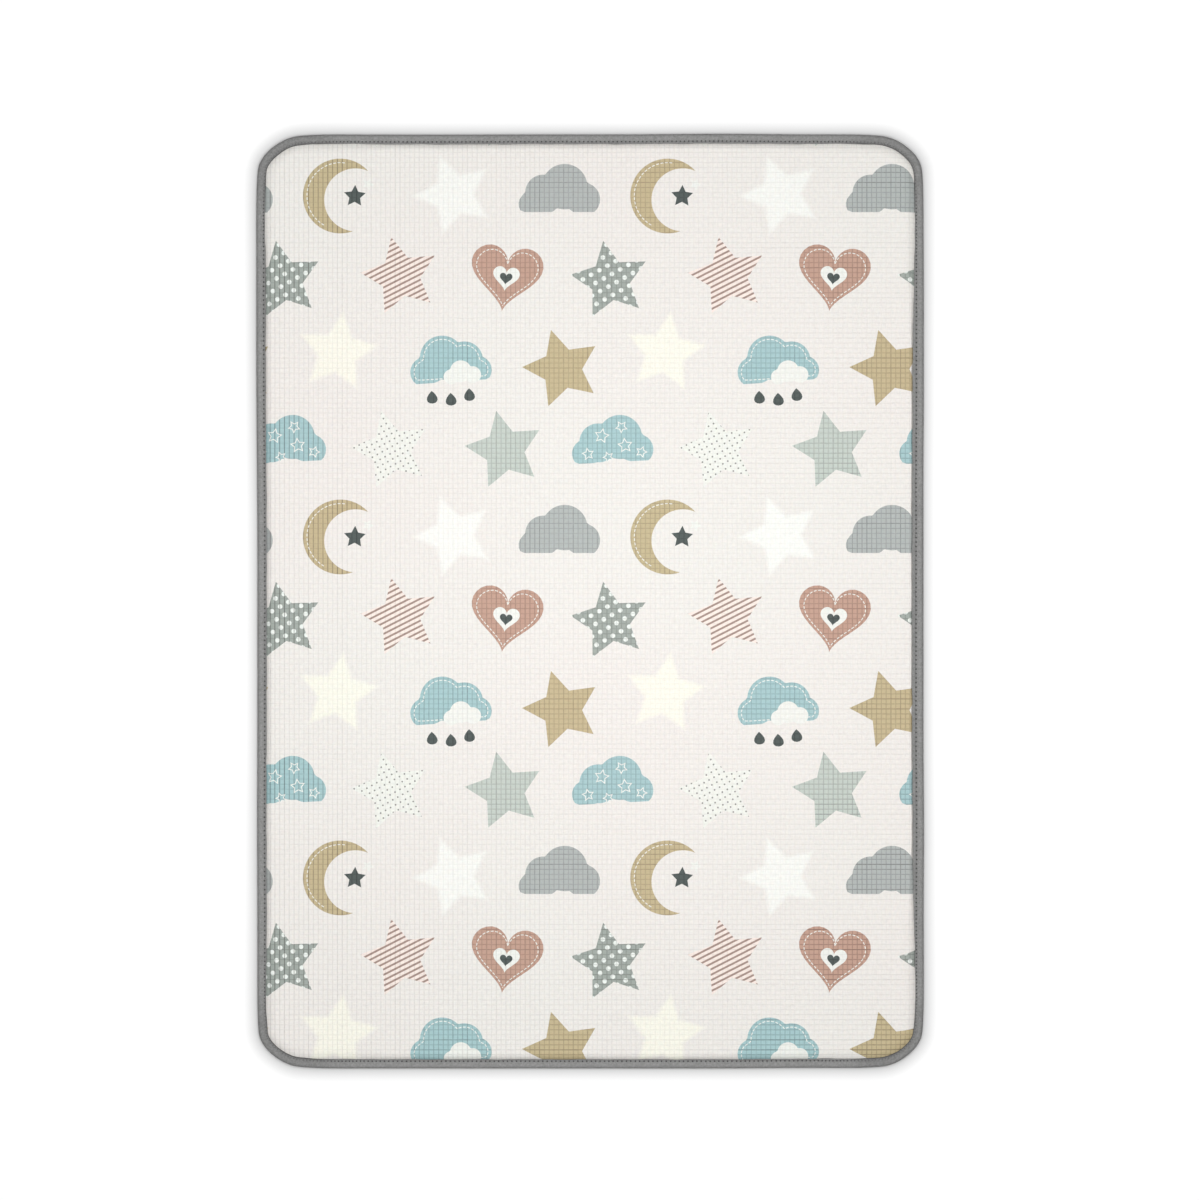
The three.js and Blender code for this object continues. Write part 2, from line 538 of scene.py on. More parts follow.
def ring_bands(stations: int, section: int, closed: bool) -> np.ndarray:
    """Give the quads of a section carried round a closed ring of stations.

    Args:
        stations: How many stations there are.
        section: How many points a section has.
        closed: Whether the section joins its end to its start.

    Returns:
        Rows of four vertex numbers.
    """
    here = np.arange(stations)[:, None] * section
    after = (np.arange(stations)[:, None] + 1) % stations * section
    band = np.arange(section if closed else section - 1)[None, :]
    up = (band + 1) % section
    return np.stack([here + band, after + band, after + up, here + up], axis=-1).reshape(-1, 4)


def carried(stations: Stations, section: np.ndarray) -> np.ndarray:
    """Place sections round the edge.

    Args:
        stations: The stations.
        section: For each station and section point, its inset and height.

    Returns:
        Rows of x, y and z, station by station.
    """
    flat = stations.point[:, None] + stations.inward[:, None] * section[:, :, :1]
    return np.concatenate([flat, section[:, :, 1:]], axis=2).reshape(-1, 3)


def stacked(stations: int, rows: Iterable[tuple[np.ndarray | float, np.ndarray | float]]) -> np.ndarray:
    """Join section points into one array.

    Args:
        stations: How many stations there are.
        rows: Each point's inset and height, each a number or one value for each station.

    Returns:
        For each station and section point, its inset and height.
    """
    return np.stack([
        np.column_stack([np.broadcast_to(inset, stations), np.broadcast_to(height, stations)])
        for inset, height in rows
    ], axis=1)


def doubled_area(outline: np.ndarray) -> float:
    """Give twice the area inside an outline, above 0 where it runs anticlockwise."""
    after = np.roll(outline, -1, axis=0)
    return float((outline[:, 0] * after[:, 1] - outline[:, 1] * after[:, 0]).sum())


def filled(rings: Sequence[np.ndarray], loose: np.ndarray,
           areas: Sequence[np.ndarray]) -> tuple[np.ndarray, np.ndarray, np.ndarray]:
    """Fill a ring with triangles that keep to inner rings and to the outlines of printed areas.

    Args:
        rings: Closed rings of flat points, the outermost first.
        loose: Flat points that the triangles should use.
        areas: Outlines of areas, where a later one lies over an earlier one.

    Returns:
        Flat points, rows of three vertex numbers, and for each triangle its area's number or -1.
    """
    points, edges = [*rings[0]], []
    for ring in rings[1:]:
        first = len(points)
        points.extend(ring)
        edges.extend((first + i, first + (i + 1) % len(ring)) for i in range(len(ring)))
    points.extend(loose)
    faces = [list(range(len(rings[0])))]
    for area in areas:
        faces.append(list(range(len(points), len(points) + len(area))))
        points.extend(area if doubled_area(area) > 0 else area[::-1])
    places, _, triangles, _, _, owners = delaunay_2d_cdt(
        [Vector(point) for point in points], edges, faces, CUT_INSIDE, CUT_TOLERANCE)
    kept = [(corners, max(of) - 1) for corners, of in zip(triangles, owners, strict=True) if 0 in of]
    flat = np.array([tuple(place) for place in places])
    corners = np.array([corners for corners, _ in kept])
    ab, ac = flat[corners[:, 1]] - flat[corners[:, 0]], flat[corners[:, 2]] - flat[corners[:, 0]]
    face_down = ab[:, 0] * ac[:, 1] - ab[:, 1] * ac[:, 0] < 0
    corners[face_down] = corners[face_down][:, ::-1]
    return flat, corners, np.array([owner for _, owner in kept])


def grid_inside(edge: EdgeLine, spacing: float, inset: float) -> np.ndarray:
    """Lay a grid of flat points on the mat.

    Args:
        edge: The mat's edge.
        spacing: How far apart the points are.
        inset: How far in from the edge they all lie, at least.

    Returns:
        Rows of x and y.
    """
    across = np.arange(-edge.width / 2, edge.width / 2, spacing)
    along = np.arange(-edge.length / 2, edge.length / 2, spacing)
    points = np.stack(np.meshgrid(across, along), axis=-1).reshape(-1, 2)
    return points[edge.insets(points)[0] > inset]


# Printed motifs


class Fill(Enum):
    """What a printed area is filled with."""

    PLAIN = "plain ink"
    DOTS = "dots of the second ink"
    STRIPES = "stripes of the second ink"


@dataclass(frozen=True)
class Look:
    """How a printed area looks: its inks, its fill and how strongly the grid shows on it."""

    ink: Paint
    grid: float = 1.0
    fill: Fill = Fill.PLAIN
    second: Paint = Paint(255, 255, 255)
    pitch: float = 10 * MM
    share: float = 0.0
    lean: float = 0.0

    def faded(self, share: float) -> "Look":
        """Give this look at part strength over the mat's ground."""
        return replace(self, ink=GROUND.ink.towards(self.ink, share))

    def numbers(self) -> tuple[float, float, float]:
        """Give what the material reads: the shares of dots and of stripes, and the grid's strength."""
        dots, stripes = (self.share if self.fill is fill else 0.0 for fill in (Fill.DOTS, Fill.STRIPES))
        return dots, stripes, self.grid


GROUND = Look(Paint(250, 246, 242), grid=0.24)
PALE_GREEN = Look(Paint(206, 215, 208))
GOLD = Look(Paint(206, 189, 150))
ROSE = Look(Paint(204, 165, 147))
BLUE = Look(Paint(174, 209, 213))
GREY = Look(Paint(186, 191, 190))
CHARCOAL = Look(Paint(80, 90, 88))
WHITE = Look(Paint(252, 253, 248), grid=0.3)
CREAM_GHOST = Look(Paint(261, 259, 247), grid=0.2)
WHITE_GHOST = Look(Paint(259, 259, 255), grid=0.2)
DOTTED = Look(Paint(169, 177, 171), fill=Fill.DOTS, second=Paint(251, 256, 252), pitch=14 * MM,
              share=0.25, lean=19)
FINE_DOTTED = Look(Paint(252, 253, 247), grid=0.2, fill=Fill.DOTS, second=Paint(150, 150, 146),
                   pitch=8.5 * MM, share=0.15, lean=15)
STRIPED = Look(Paint(261, 246, 239), grid=0.3, fill=Fill.STRIPES, second=Paint(172, 147, 136),
               pitch=7.3 * MM, share=0.195, lean=14)


@dataclass(frozen=True)
class Area:
    """One printed area: its outline, its look and the point and turn that its fill is laid from."""

    outline: np.ndarray
    look: Look
    middle: tuple[float, float] = (0.0, 0.0)
    turn: float = 0.0

    def placed(self, x: float, y: float, turn: float) -> "Area":
        """Give the area turned about the origin and then moved."""
        moved = turned(self.outline, turn) + (x, y)
        return Area(moved, self.look, (self.middle[0] + x, self.middle[1] + y), self.turn + turn)


def star(tip: float, waist: float = 0.5, tips: int = 5) -> np.ndarray:
    """Give a star with one point up.

    Args:
        tip: How far its tips reach.
        waist: How far the corners between them reach, beside the tips.
        tips: How many it has.

    Returns:
        Its outline.
    """
    step = np.arange(2 * tips)
    angle = math.pi / 2 + step * math.pi / tips
    reach = np.where(step % 2 == 0, tip, tip * waist)
    return np.column_stack([np.cos(angle), np.sin(angle)]) * reach[:, None]


def heart(width: float, steps: int = 48) -> np.ndarray:
    """Give a heart with its point down, by the well-known curve, which is 32 units wide.

    Args:
        width: Its width.
        steps: How many points its outline has.

    Returns:
        Its outline.
    """
    t = np.arange(steps) * 2 * math.pi / steps
    shape = np.column_stack([
        16 * np.sin(t) ** 3,
        13 * np.cos(t) - 5 * np.cos(2 * t) - 2 * np.cos(3 * t) - np.cos(4 * t) + 2.5,
    ])
    return shape[::-1] * width / 32


def crescent(radius: float, bite: float = 0.84, shift: float = 0.42,
             steps: int = 32) -> tuple[np.ndarray, np.ndarray]:
    """Give a crescent moon, open to the right.

    Args:
        radius: The moon's radius.
        bite: The bite's radius beside the moon's.
        shift: How far right the bite's centre lies, beside the moon's radius.
        steps: How many steps each arc takes.

    Returns:
        Its round back and its hollow front, which together are its outline.
    """
    meet_x = (1 + shift * shift - bite * bite) / (2 * shift)
    outer = math.acos(meet_x)
    inner = math.atan2(math.sqrt(1 - meet_x * meet_x), meet_x - shift)
    back = np.linspace(outer, 2 * math.pi - outer, steps, endpoint=False)
    front = np.linspace(2 * math.pi - inner, inner, steps, endpoint=False)
    return (
        radius * np.column_stack([np.cos(back), np.sin(back)]),
        radius * np.column_stack([shift + bite * np.cos(front), bite * np.sin(front)]),
    )


def raindrop(length: float, middle: tuple[float, float], breadth: float = 0.56,
             steps: int = 16) -> np.ndarray:
    """Give a raindrop with its point up.

    Args:
        length: Its length.
        middle: Where its middle is.
        breadth: What sets its width, beside its length.
        steps: How many points its outline has.

    Returns:
        Its outline.
    """
    t = np.arange(steps) * 2 * math.pi / steps
    shape = np.column_stack([breadth * np.sin(t) * np.sin(t / 2), np.cos(t) * 0.5])
    return shape[::-1] * length + middle


@dataclass(frozen=True)
class Cloud:
    """A cloud of round puffs on a flat base, in millimetres. Each puff has a place and a radius."""

    puffs: tuple[tuple[float, float, float], ...]
    base: float = -30
    steps: int = 72
    least_fall: float = 1e-9

    def outline(self, inset: float = 0.0) -> np.ndarray:
        """Draw the cloud by how far rays from its middle reach.

        Args:
            inset: How far inside the cloud's edge the line lies, in metres.

        Returns:
            The line in metres.
        """
        angle = np.arange(self.steps) * 2 * math.pi / self.steps
        ray = np.column_stack([np.cos(angle), np.sin(angle)])
        reach = np.zeros(self.steps)
        for puff in self.puffs:
            x, y, radius = (size * MM for size in puff)
            towards = ray @ (x, y)
            inside = (radius - inset) ** 2 - (x * x + y * y - towards**2)
            reach = np.maximum(reach, towards + np.sqrt(np.maximum(inside, 0)) * (inside > 0))
        floor = (self.base * MM + inset) / np.minimum(ray[:, 1], -self.least_fall)
        return ray * np.minimum(reach, floor)[:, None]


TALL_CLOUD = Cloud(((-37, -13, 23), (-11, 7, 33), (22, 1, 28), (41, -15, 21)))
WIDE_CLOUD = Cloud(((36, -11, 25), (8, 8, 34), (-24, -1, 27), (-43, -18, 18)))
SMALL_CLOUD = Cloud(((-14, -3, 9), (-2, 3, 13), (12, -2, 10)), base=-12)


def dashes(line: np.ndarray, look: Look, pitch: float = 6.6 * MM, length: float = 4.2 * MM,
           width: float = 1.3 * MM, closed: bool = True) -> list[Area]:
    """Lay short dashes along a line, like a running stitch.

    Args:
        line: The line's points.
        look: The dashes' look.
        pitch: About how far apart they start.
        length: How long each is.
        width: How wide each is.
        closed: Whether the line comes back to its start.

    Returns:
        One area for each dash.
    """
    ring = np.concatenate([line, line[:1]]) if closed else line
    steps = np.concatenate([[0], np.cumsum(np.linalg.norm(np.diff(ring, axis=0), axis=1))])
    count = max(1, round(steps[-1] / pitch))
    areas = []
    for start in np.arange(count) * steps[-1] / count:
        first, last = (np.array([np.interp(at, steps, column) for column in ring.T])
                       for at in (start, start + length))
        heading = (last - first) / np.linalg.norm(last - first)
        side = np.array([-heading[1], heading[0]]) * width / 2
        areas.append(Area(np.array([first - side, last - side, last + side, first + side]), look))
    return areas


@dataclass(frozen=True)
class PlainStar:
    """A plain star."""

    tip: float = 60 * MM

    def areas(self, look: Look) -> list[Area]:
        """Give its one area."""
        return [Area(star(self.tip), look)]


@dataclass(frozen=True)
class SoftStar:
    """A pale star in steps from nearly the ground's colour at its edge to its own inside.

    Each step has how far its tips reach, in millimetres, and the share of the star's own colour.
    """

    steps: tuple[tuple[float, float], ...] = ((66, 0.2), (63, 0.4), (60, 0.6), (57, 0.8), (54, 1.0))

    def areas(self, look: Look) -> list[Area]:
        """Give its steps from the widest to the narrowest."""
        return [Area(star(tip * MM), look.faded(share)) for tip, share in self.steps]


@dataclass(frozen=True)
class PlainCloud:
    """A plain cloud."""

    cloud: Cloud = WIDE_CLOUD

    def areas(self, look: Look) -> list[Area]:
        """Give its one area."""
        return [Area(self.cloud.outline(), look)]


@dataclass(frozen=True)
class RainCloud:
    """A stitched cloud with a small white cloud before it and drops of rain below."""

    stitch_inset: float = 5.5 * MM
    small_scale: float = 1.25
    small_place: tuple[float, float] = (18 * MM, -19 * MM)
    drop_length: float = 19 * MM
    drops: tuple[tuple[float, float], ...] = ((-30 * MM, -51 * MM), (-2 * MM, -56 * MM), (26 * MM, -51 * MM))

    def areas(self, look: Look) -> list[Area]:
        """Lay out the cloud, its stitches, the small cloud and the drops.

        Args:
            look: The cloud's look.

        Returns:
            The areas, from the lowest to the uppermost.
        """
        return [
            Area(TALL_CLOUD.outline(), look),
            *dashes(TALL_CLOUD.outline(self.stitch_inset), WHITE),
            Area(SMALL_CLOUD.outline() * self.small_scale + self.small_place, WHITE),
            *(Area(raindrop(self.drop_length, place), CHARCOAL) for place in self.drops),
        ]


@dataclass(frozen=True)
class StarryCloud:
    """A cloud, mirrored, with the outlines of small stars on it.

    Each star has its place and its tips' reach in millimetres, and its turn.
    """

    stars: tuple[tuple[float, float, float, float], ...] = (
        (-38, -16, 10, 8),
        (-16, 10, 12, -14),
        (-8, -22, 9, 20),
        (14, 22, 10, 30),
        (18, -6, 12, 4),
        (42, -17, 9.5, -22),
    )
    line: float = 2.9

    def areas(self, look: Look) -> list[Area]:
        """Lay out the cloud, and each star in white with a smaller one of the cloud's colour on it.

        Args:
            look: The cloud's look.

        Returns:
            The areas, from the lowest to the uppermost.
        """
        areas = [Area(TALL_CLOUD.outline() * (-1, 1), look)]
        for x, y, tip, turn in self.stars:
            for reach, paint in ((tip, WHITE), (tip - self.line, look)):
                areas.append(Area(star(reach * MM), paint).placed(x * MM, y * MM, turn))
        return areas


@dataclass(frozen=True)
class Moon:
    """A stitched crescent moon with two small stars in its crook.

    Its stitches follow a flatter moon's back, less its first and last trim points. Each star has its look,
    its tips' reach, its place and its turn.
    """

    radius: float = 56 * MM
    stitch_radius: float = 50 * MM
    stitch_bite: float = 0.98
    stitch_shift: float = 0.34
    trim: int = 3
    stars: tuple[tuple[Look, float, float, float, float], ...] = (
        (CHARCOAL, 17 * MM, 21 * MM, 5 * MM, 12),
        (WHITE, 9 * MM, 36 * MM, 27 * MM, -10),
    )

    def areas(self, look: Look) -> list[Area]:
        """Lay out the moon, its stitches and its stars.

        Args:
            look: The moon's look.

        Returns:
            The areas, from the lowest to the uppermost.
        """
        stitched, _ = crescent(self.stitch_radius, self.stitch_bite, self.stitch_shift)
        return [
            Area(np.concatenate(crescent(self.radius)), look),
            *dashes(stitched[self.trim:-self.trim], WHITE, closed=False),
            *(Area(star(tip), paint).placed(x, y, turn) for paint, tip, x, y, turn in self.stars),
        ]


@dataclass(frozen=True)
class StitchedHeart:
    """A stitched heart with a white and a charcoal heart inside."""

    width: float = 108 * MM
    stitch_width: float = 93 * MM
    inner_width: float = 40 * MM
    core_width: float = 19 * MM

    def areas(self, look: Look) -> list[Area]:
        """Lay out the heart, its stitches and the hearts inside.

        Args:
            look: The heart's look.

        Returns:
            The areas, from the lowest to the uppermost.
        """
        return [
            Area(heart(self.width), look),
            *dashes(heart(self.stitch_width), WHITE),
            Area(heart(self.inner_width), WHITE),
            Area(heart(self.core_width), CHARCOAL),
        ]


class Motif(Enum):
    """The motifs of the print. Each gives its areas round the origin, from the lowest to the uppermost."""

    PLAIN_STAR = PlainStar()
    SOFT_STAR = SoftStar()
    PLAIN_CLOUD = PlainCloud()
    RAIN_CLOUD = RainCloud()
    STARRY_CLOUD = StarryCloud()
    MOON = Moon()
    HEART = StitchedHeart()


@dataclass(frozen=True)
class Placed:
    """A motif's place on the print's tile."""

    motif: Motif
    look: Look
    x: float
    y: float
    turn: float

    def areas(self) -> list[Area]:
        """Give the placed motif's areas."""
        return [area.placed(self.x, self.y, self.turn) for area in self.motif.value.areas(self.look)]


TILE = (
    Placed(Motif.RAIN_CLOUD, BLUE, 82 * MM, 62 * MM, 4),
    Placed(Motif.PLAIN_STAR, GOLD, 250 * MM, 52 * MM, 16),
    Placed(Motif.SOFT_STAR, CREAM_GHOST, 404 * MM, 76 * MM, -8),
    Placed(Motif.PLAIN_STAR, STRIPED, 8 * MM, 190 * MM, 13),
    Placed(Motif.HEART, ROSE, 166 * MM, 186 * MM, -7),
    Placed(Motif.PLAIN_STAR, DOTTED, 322 * MM, 184 * MM, 10),
    Placed(Motif.SOFT_STAR, WHITE_GHOST, 88 * MM, 312 * MM, 20),
    Placed(Motif.PLAIN_CLOUD, GREY, 246 * MM, 316 * MM, 0),
    Placed(Motif.MOON, GOLD, 408 * MM, 310 * MM, -14),
    Placed(Motif.PLAIN_STAR, FINE_DOTTED, 484 * MM, 440 * MM, 14),
    Placed(Motif.PLAIN_STAR, PALE_GREEN, 164 * MM, 440 * MM, 12),
    Placed(Motif.STARRY_CLOUD, BLUE, 326 * MM, 452 * MM, 3),
)


@dataclass(frozen=True)
class Print:
    """The print: its tile repeated over the mat from a starting point."""

    start_x: float = -292 * MM
    start_y: float = -214 * MM
    repeats: range = range(-2, 4)

    def areas(self, edge: EdgeLine) -> list[Area]:
        """Lay the print out.

        Args:
            edge: The mat's edge.

        Returns:
            Every printed area that reaches the mat, with a later one over an earlier one.
        """
        tile = [area for placed in TILE for area in placed.areas()]
        half = np.array([edge.width, edge.length]) / 2
        found = []
        for column, row in product(self.repeats, self.repeats):
            x, y = self.start_x + column * TILE_WIDTH, self.start_y + row * TILE_LENGTH
            for area in tile:
                shown = area.placed(x, y, 0)
                if (shown.outline.max(0) > -half).all() and (shown.outline.min(0) < half).all():
                    found.append(shown)
        return found


# Shader and geometry nodes


class Value:
    """A node socket that carries a number, so that maths on it reads as an expression."""

    def __init__(self, nodes: "Nodes", socket: bpy.types.NodeSocket) -> None:
        """Wrap a socket of a tree."""
        self.nodes = nodes
        self.socket = socket

    def _maths(self, operation: str, *others: "Value | float") -> "Value":
        """Add a Math node on this value and others."""
        return self.nodes.maths(operation, self, *others)

    def __add__(self, other: "Value | float") -> "Value":
        """Add."""
        return self._maths("ADD", other)

    __radd__ = __add__

    def __sub__(self, other: "Value | float") -> "Value":
        """Subtract."""
        return self._maths("SUBTRACT", other)

    def __rsub__(self, other: float) -> "Value":
        """Subtract this from a number."""
        return self.nodes.maths("SUBTRACT", other, self)

    def __mul__(self, other: "Value | float") -> "Value":
        """Multiply."""
        return self._maths("MULTIPLY", other)

    __rmul__ = __mul__

    def __truediv__(self, other: "Value | float") -> "Value":
        """Divide."""
        return self._maths("DIVIDE", other)

    def __abs__(self) -> "Value":
        """Give the size without the sign."""
        return self._maths("ABSOLUTE")

    def __mod__(self, other: float) -> "Value":
        """Give what is left over, never below 0."""
        return self._maths("FLOORED_MODULO", other)

    def __pow__(self, other: float) -> "Value":
        """Raise to a power."""
        return self._maths("POWER", other)

    def floor(self) -> "Value":
        """Round down."""
        return self._maths("FLOOR")

    def fraction(self) -> "Value":
        """Give the part after the point."""
        return self._maths("FRACT")

    def sine(self) -> "Value":
        """Give the sine."""
        return self._maths("SINE")

    def most(self, other: "Value | float") -> "Value":
        """Give the larger."""
        return self._maths("MAXIMUM", other)

    def least(self, other: "Value | float") -> "Value":
        """Give the smaller."""
        return self._maths("MINIMUM", other)

    def clamped(self) -> "Value":
        """Keep between 0 and 1."""
        return self.most(0.0).least(1.0)

    def within(self, limit: "Value | float", soft: float) -> "Value":
        """Give 1 where this is under a limit and 0 where it is over, with a soft step.

        Args:
            limit: The limit.
            soft: How wide the step is.

        Returns:
            The mask.
        """
        return ((limit - self) / soft + 0.5).clamped()


class Nodes:
    """Adds nodes to one tree."""

    def __init__(self, tree: bpy.types.NodeTree) -> None:
        """Start on a tree."""
        self.tree = tree

    def add(self, kind: str, settings: dict[str, object] | None = None,
            inputs: dict[str | int, object] | None = None) -> bpy.types.Node:
        """Add any node.

        Args:
            kind: The node's type.
            settings: Its own settings, set first.
            inputs: For each socket, by name or number, a value or what links to it.

        Returns:
            The node.
        """
        node = self.tree.nodes.new(kind)
        for name, value in (settings or {}).items():
            setattr(node, name, value)
        for name, value in (inputs or {}).items():
            self.feed(node.inputs[name], value)
        return node

    def feed(self, socket: bpy.types.NodeSocket, value: object) -> None:
        """Set a socket's value or link to it.

        Args:
            socket: The socket.
            value: Its value, or a wrapped number, a socket or a node whose first output links to it.
        """
        if isinstance(value, Value):
            value = value.socket
        if isinstance(value, bpy.types.Node):
            value = value.outputs[0]
        if isinstance(value, bpy.types.NodeSocket):
            self.tree.links.new(value, socket)
        else:
            socket.default_value = value

    def maths(self, operation: str, *values: Value | float) -> Value:
        """Add a Math node."""
        return self.number(self.add("ShaderNodeMath", {"operation": operation}, dict(enumerate(values))))

    def number(self, node: bpy.types.Node, output: str | int = 0) -> Value:
        """Wrap a node's output as a number."""
        return Value(self, node.outputs[output])

    def parts(self, vector: bpy.types.NodeSocket) -> tuple[Value, Value, Value]:
        """Split a vector into its numbers."""
        node = self.add("ShaderNodeSeparateXYZ", inputs={0: vector})
        return tuple(Value(self, output) for output in node.outputs)

    def joined(self, x: Value | float, y: Value | float, z: Value | float = 0.0) -> bpy.types.NodeSocket:
        """Join numbers into a vector."""
        return self.add("ShaderNodeCombineXYZ", inputs={0: x, 1: y, 2: z}).outputs[0]

    def attribute(self, name: str) -> bpy.types.Node:
        """Read an attribute of the piece."""
        return self.add("ShaderNodeAttribute", {"attribute_name": name})

    def colour(self, red: Value, green: Value, blue: Value) -> bpy.types.Node:
        """Join numbers into a colour."""
        return self.add("ShaderNodeCombineColor", inputs={0: red, 1: green, 2: blue})

    def mixed(self, share: Value | float, first: object, second: object,
              blend: str = "MIX") -> bpy.types.NodeSocket:
        """Mix two colours.

        Args:
            share: How much the second one tells.
            first: A colour, or what links to it.
            second: The other.
            blend: The way to mix them, such as MULTIPLY.

        Returns:
            The mixed colour.
        """
        return self.add("ShaderNodeMix", {"data_type": "RGBA", "blend_type": blend},
                        {MIX_SHARE: share, MIX_FIRST: first, MIX_SECOND: second}).outputs[MIX_RESULT]

    def multiplied(self, first: object, second: object) -> bpy.types.NodeSocket:
        """Multiply two colours."""
        return self.mixed(1.0, first, second, "MULTIPLY")

    def noise(self, scale: float, vector: object, detail: float = 2.0, roughness: float = 0.5) -> Value:
        """Add noise, as a number from 0 to 1."""
        return self.number(self.add("ShaderNodeTexNoise", inputs={
            "Vector": vector, "Scale": scale, "Detail": detail, "Roughness": roughness}))

    def chance(self, number: Value, seed: float) -> Value:
        """Give each whole number a random share of its own."""
        node = self.add("ShaderNodeTexWhiteNoise", {"noise_dimensions": "2D"},
                        {"Vector": self.joined(number, seed)})
        return self.number(node)


class Finish:
    """A material under construction: its tree and its Principled shader."""

    def __init__(self, name: str, **fixed: float | tuple[float, ...]) -> None:
        """Start a material.

        Args:
            name: The finish's name.
            fixed: What is the same all over, by the shader's socket names with _ for a space.
        """
        self.material = bpy.data.materials.new(name)
        self.material.use_nodes = True
        tree = self.material.node_tree
        tree.nodes.clear()
        self.nodes = Nodes(tree)
        self.shader = self.nodes.add("ShaderNodeBsdfPrincipled", inputs={
            key.replace("_", " "): value for key, value in fixed.items()})
        self.nodes.add("ShaderNodeOutputMaterial", inputs={"Surface": self.shader})

    def object_place(self) -> bpy.types.NodeSocket:
        """Give the place on the piece in metres."""
        return self.nodes.add("ShaderNodeTexCoord").outputs["Object"]

    def drive(self, socket: str, value: object) -> None:
        """Let nodes drive one of the shader's sockets."""
        self.nodes.feed(self.shader.inputs[socket], value)

    def relief(self, height: Value, depth: float, strength: float = 1.0) -> None:
        """Raise the surface by a height from 0 to 1.

        Args:
            height: The height.
            depth: How high 1 stands, in metres.
            strength: How strongly it shows.
        """
        bump = self.nodes.add("ShaderNodeBump", inputs={
            "Height": height, "Distance": depth, "Strength": strength})
        self.drive("Normal", bump)


# Finishes


@dataclass(frozen=True)
class Span:
    """A number that starts at one value and goes further with a share."""

    start: float
    further: float

    def at(self, share: Value | np.ndarray) -> Value | np.ndarray:
        """Work out the number at a share."""
        return self.start + self.further * share


@dataclass(frozen=True)
class Bow:
    """A share that changes over the mat, by metres from its middle."""

    middle: float
    slope: float
    bow: float = 0.0

    def at(self, place: Value) -> Value:
        """Work out the share at a place."""
        return self.middle + self.slope * place + self.bow * place * place


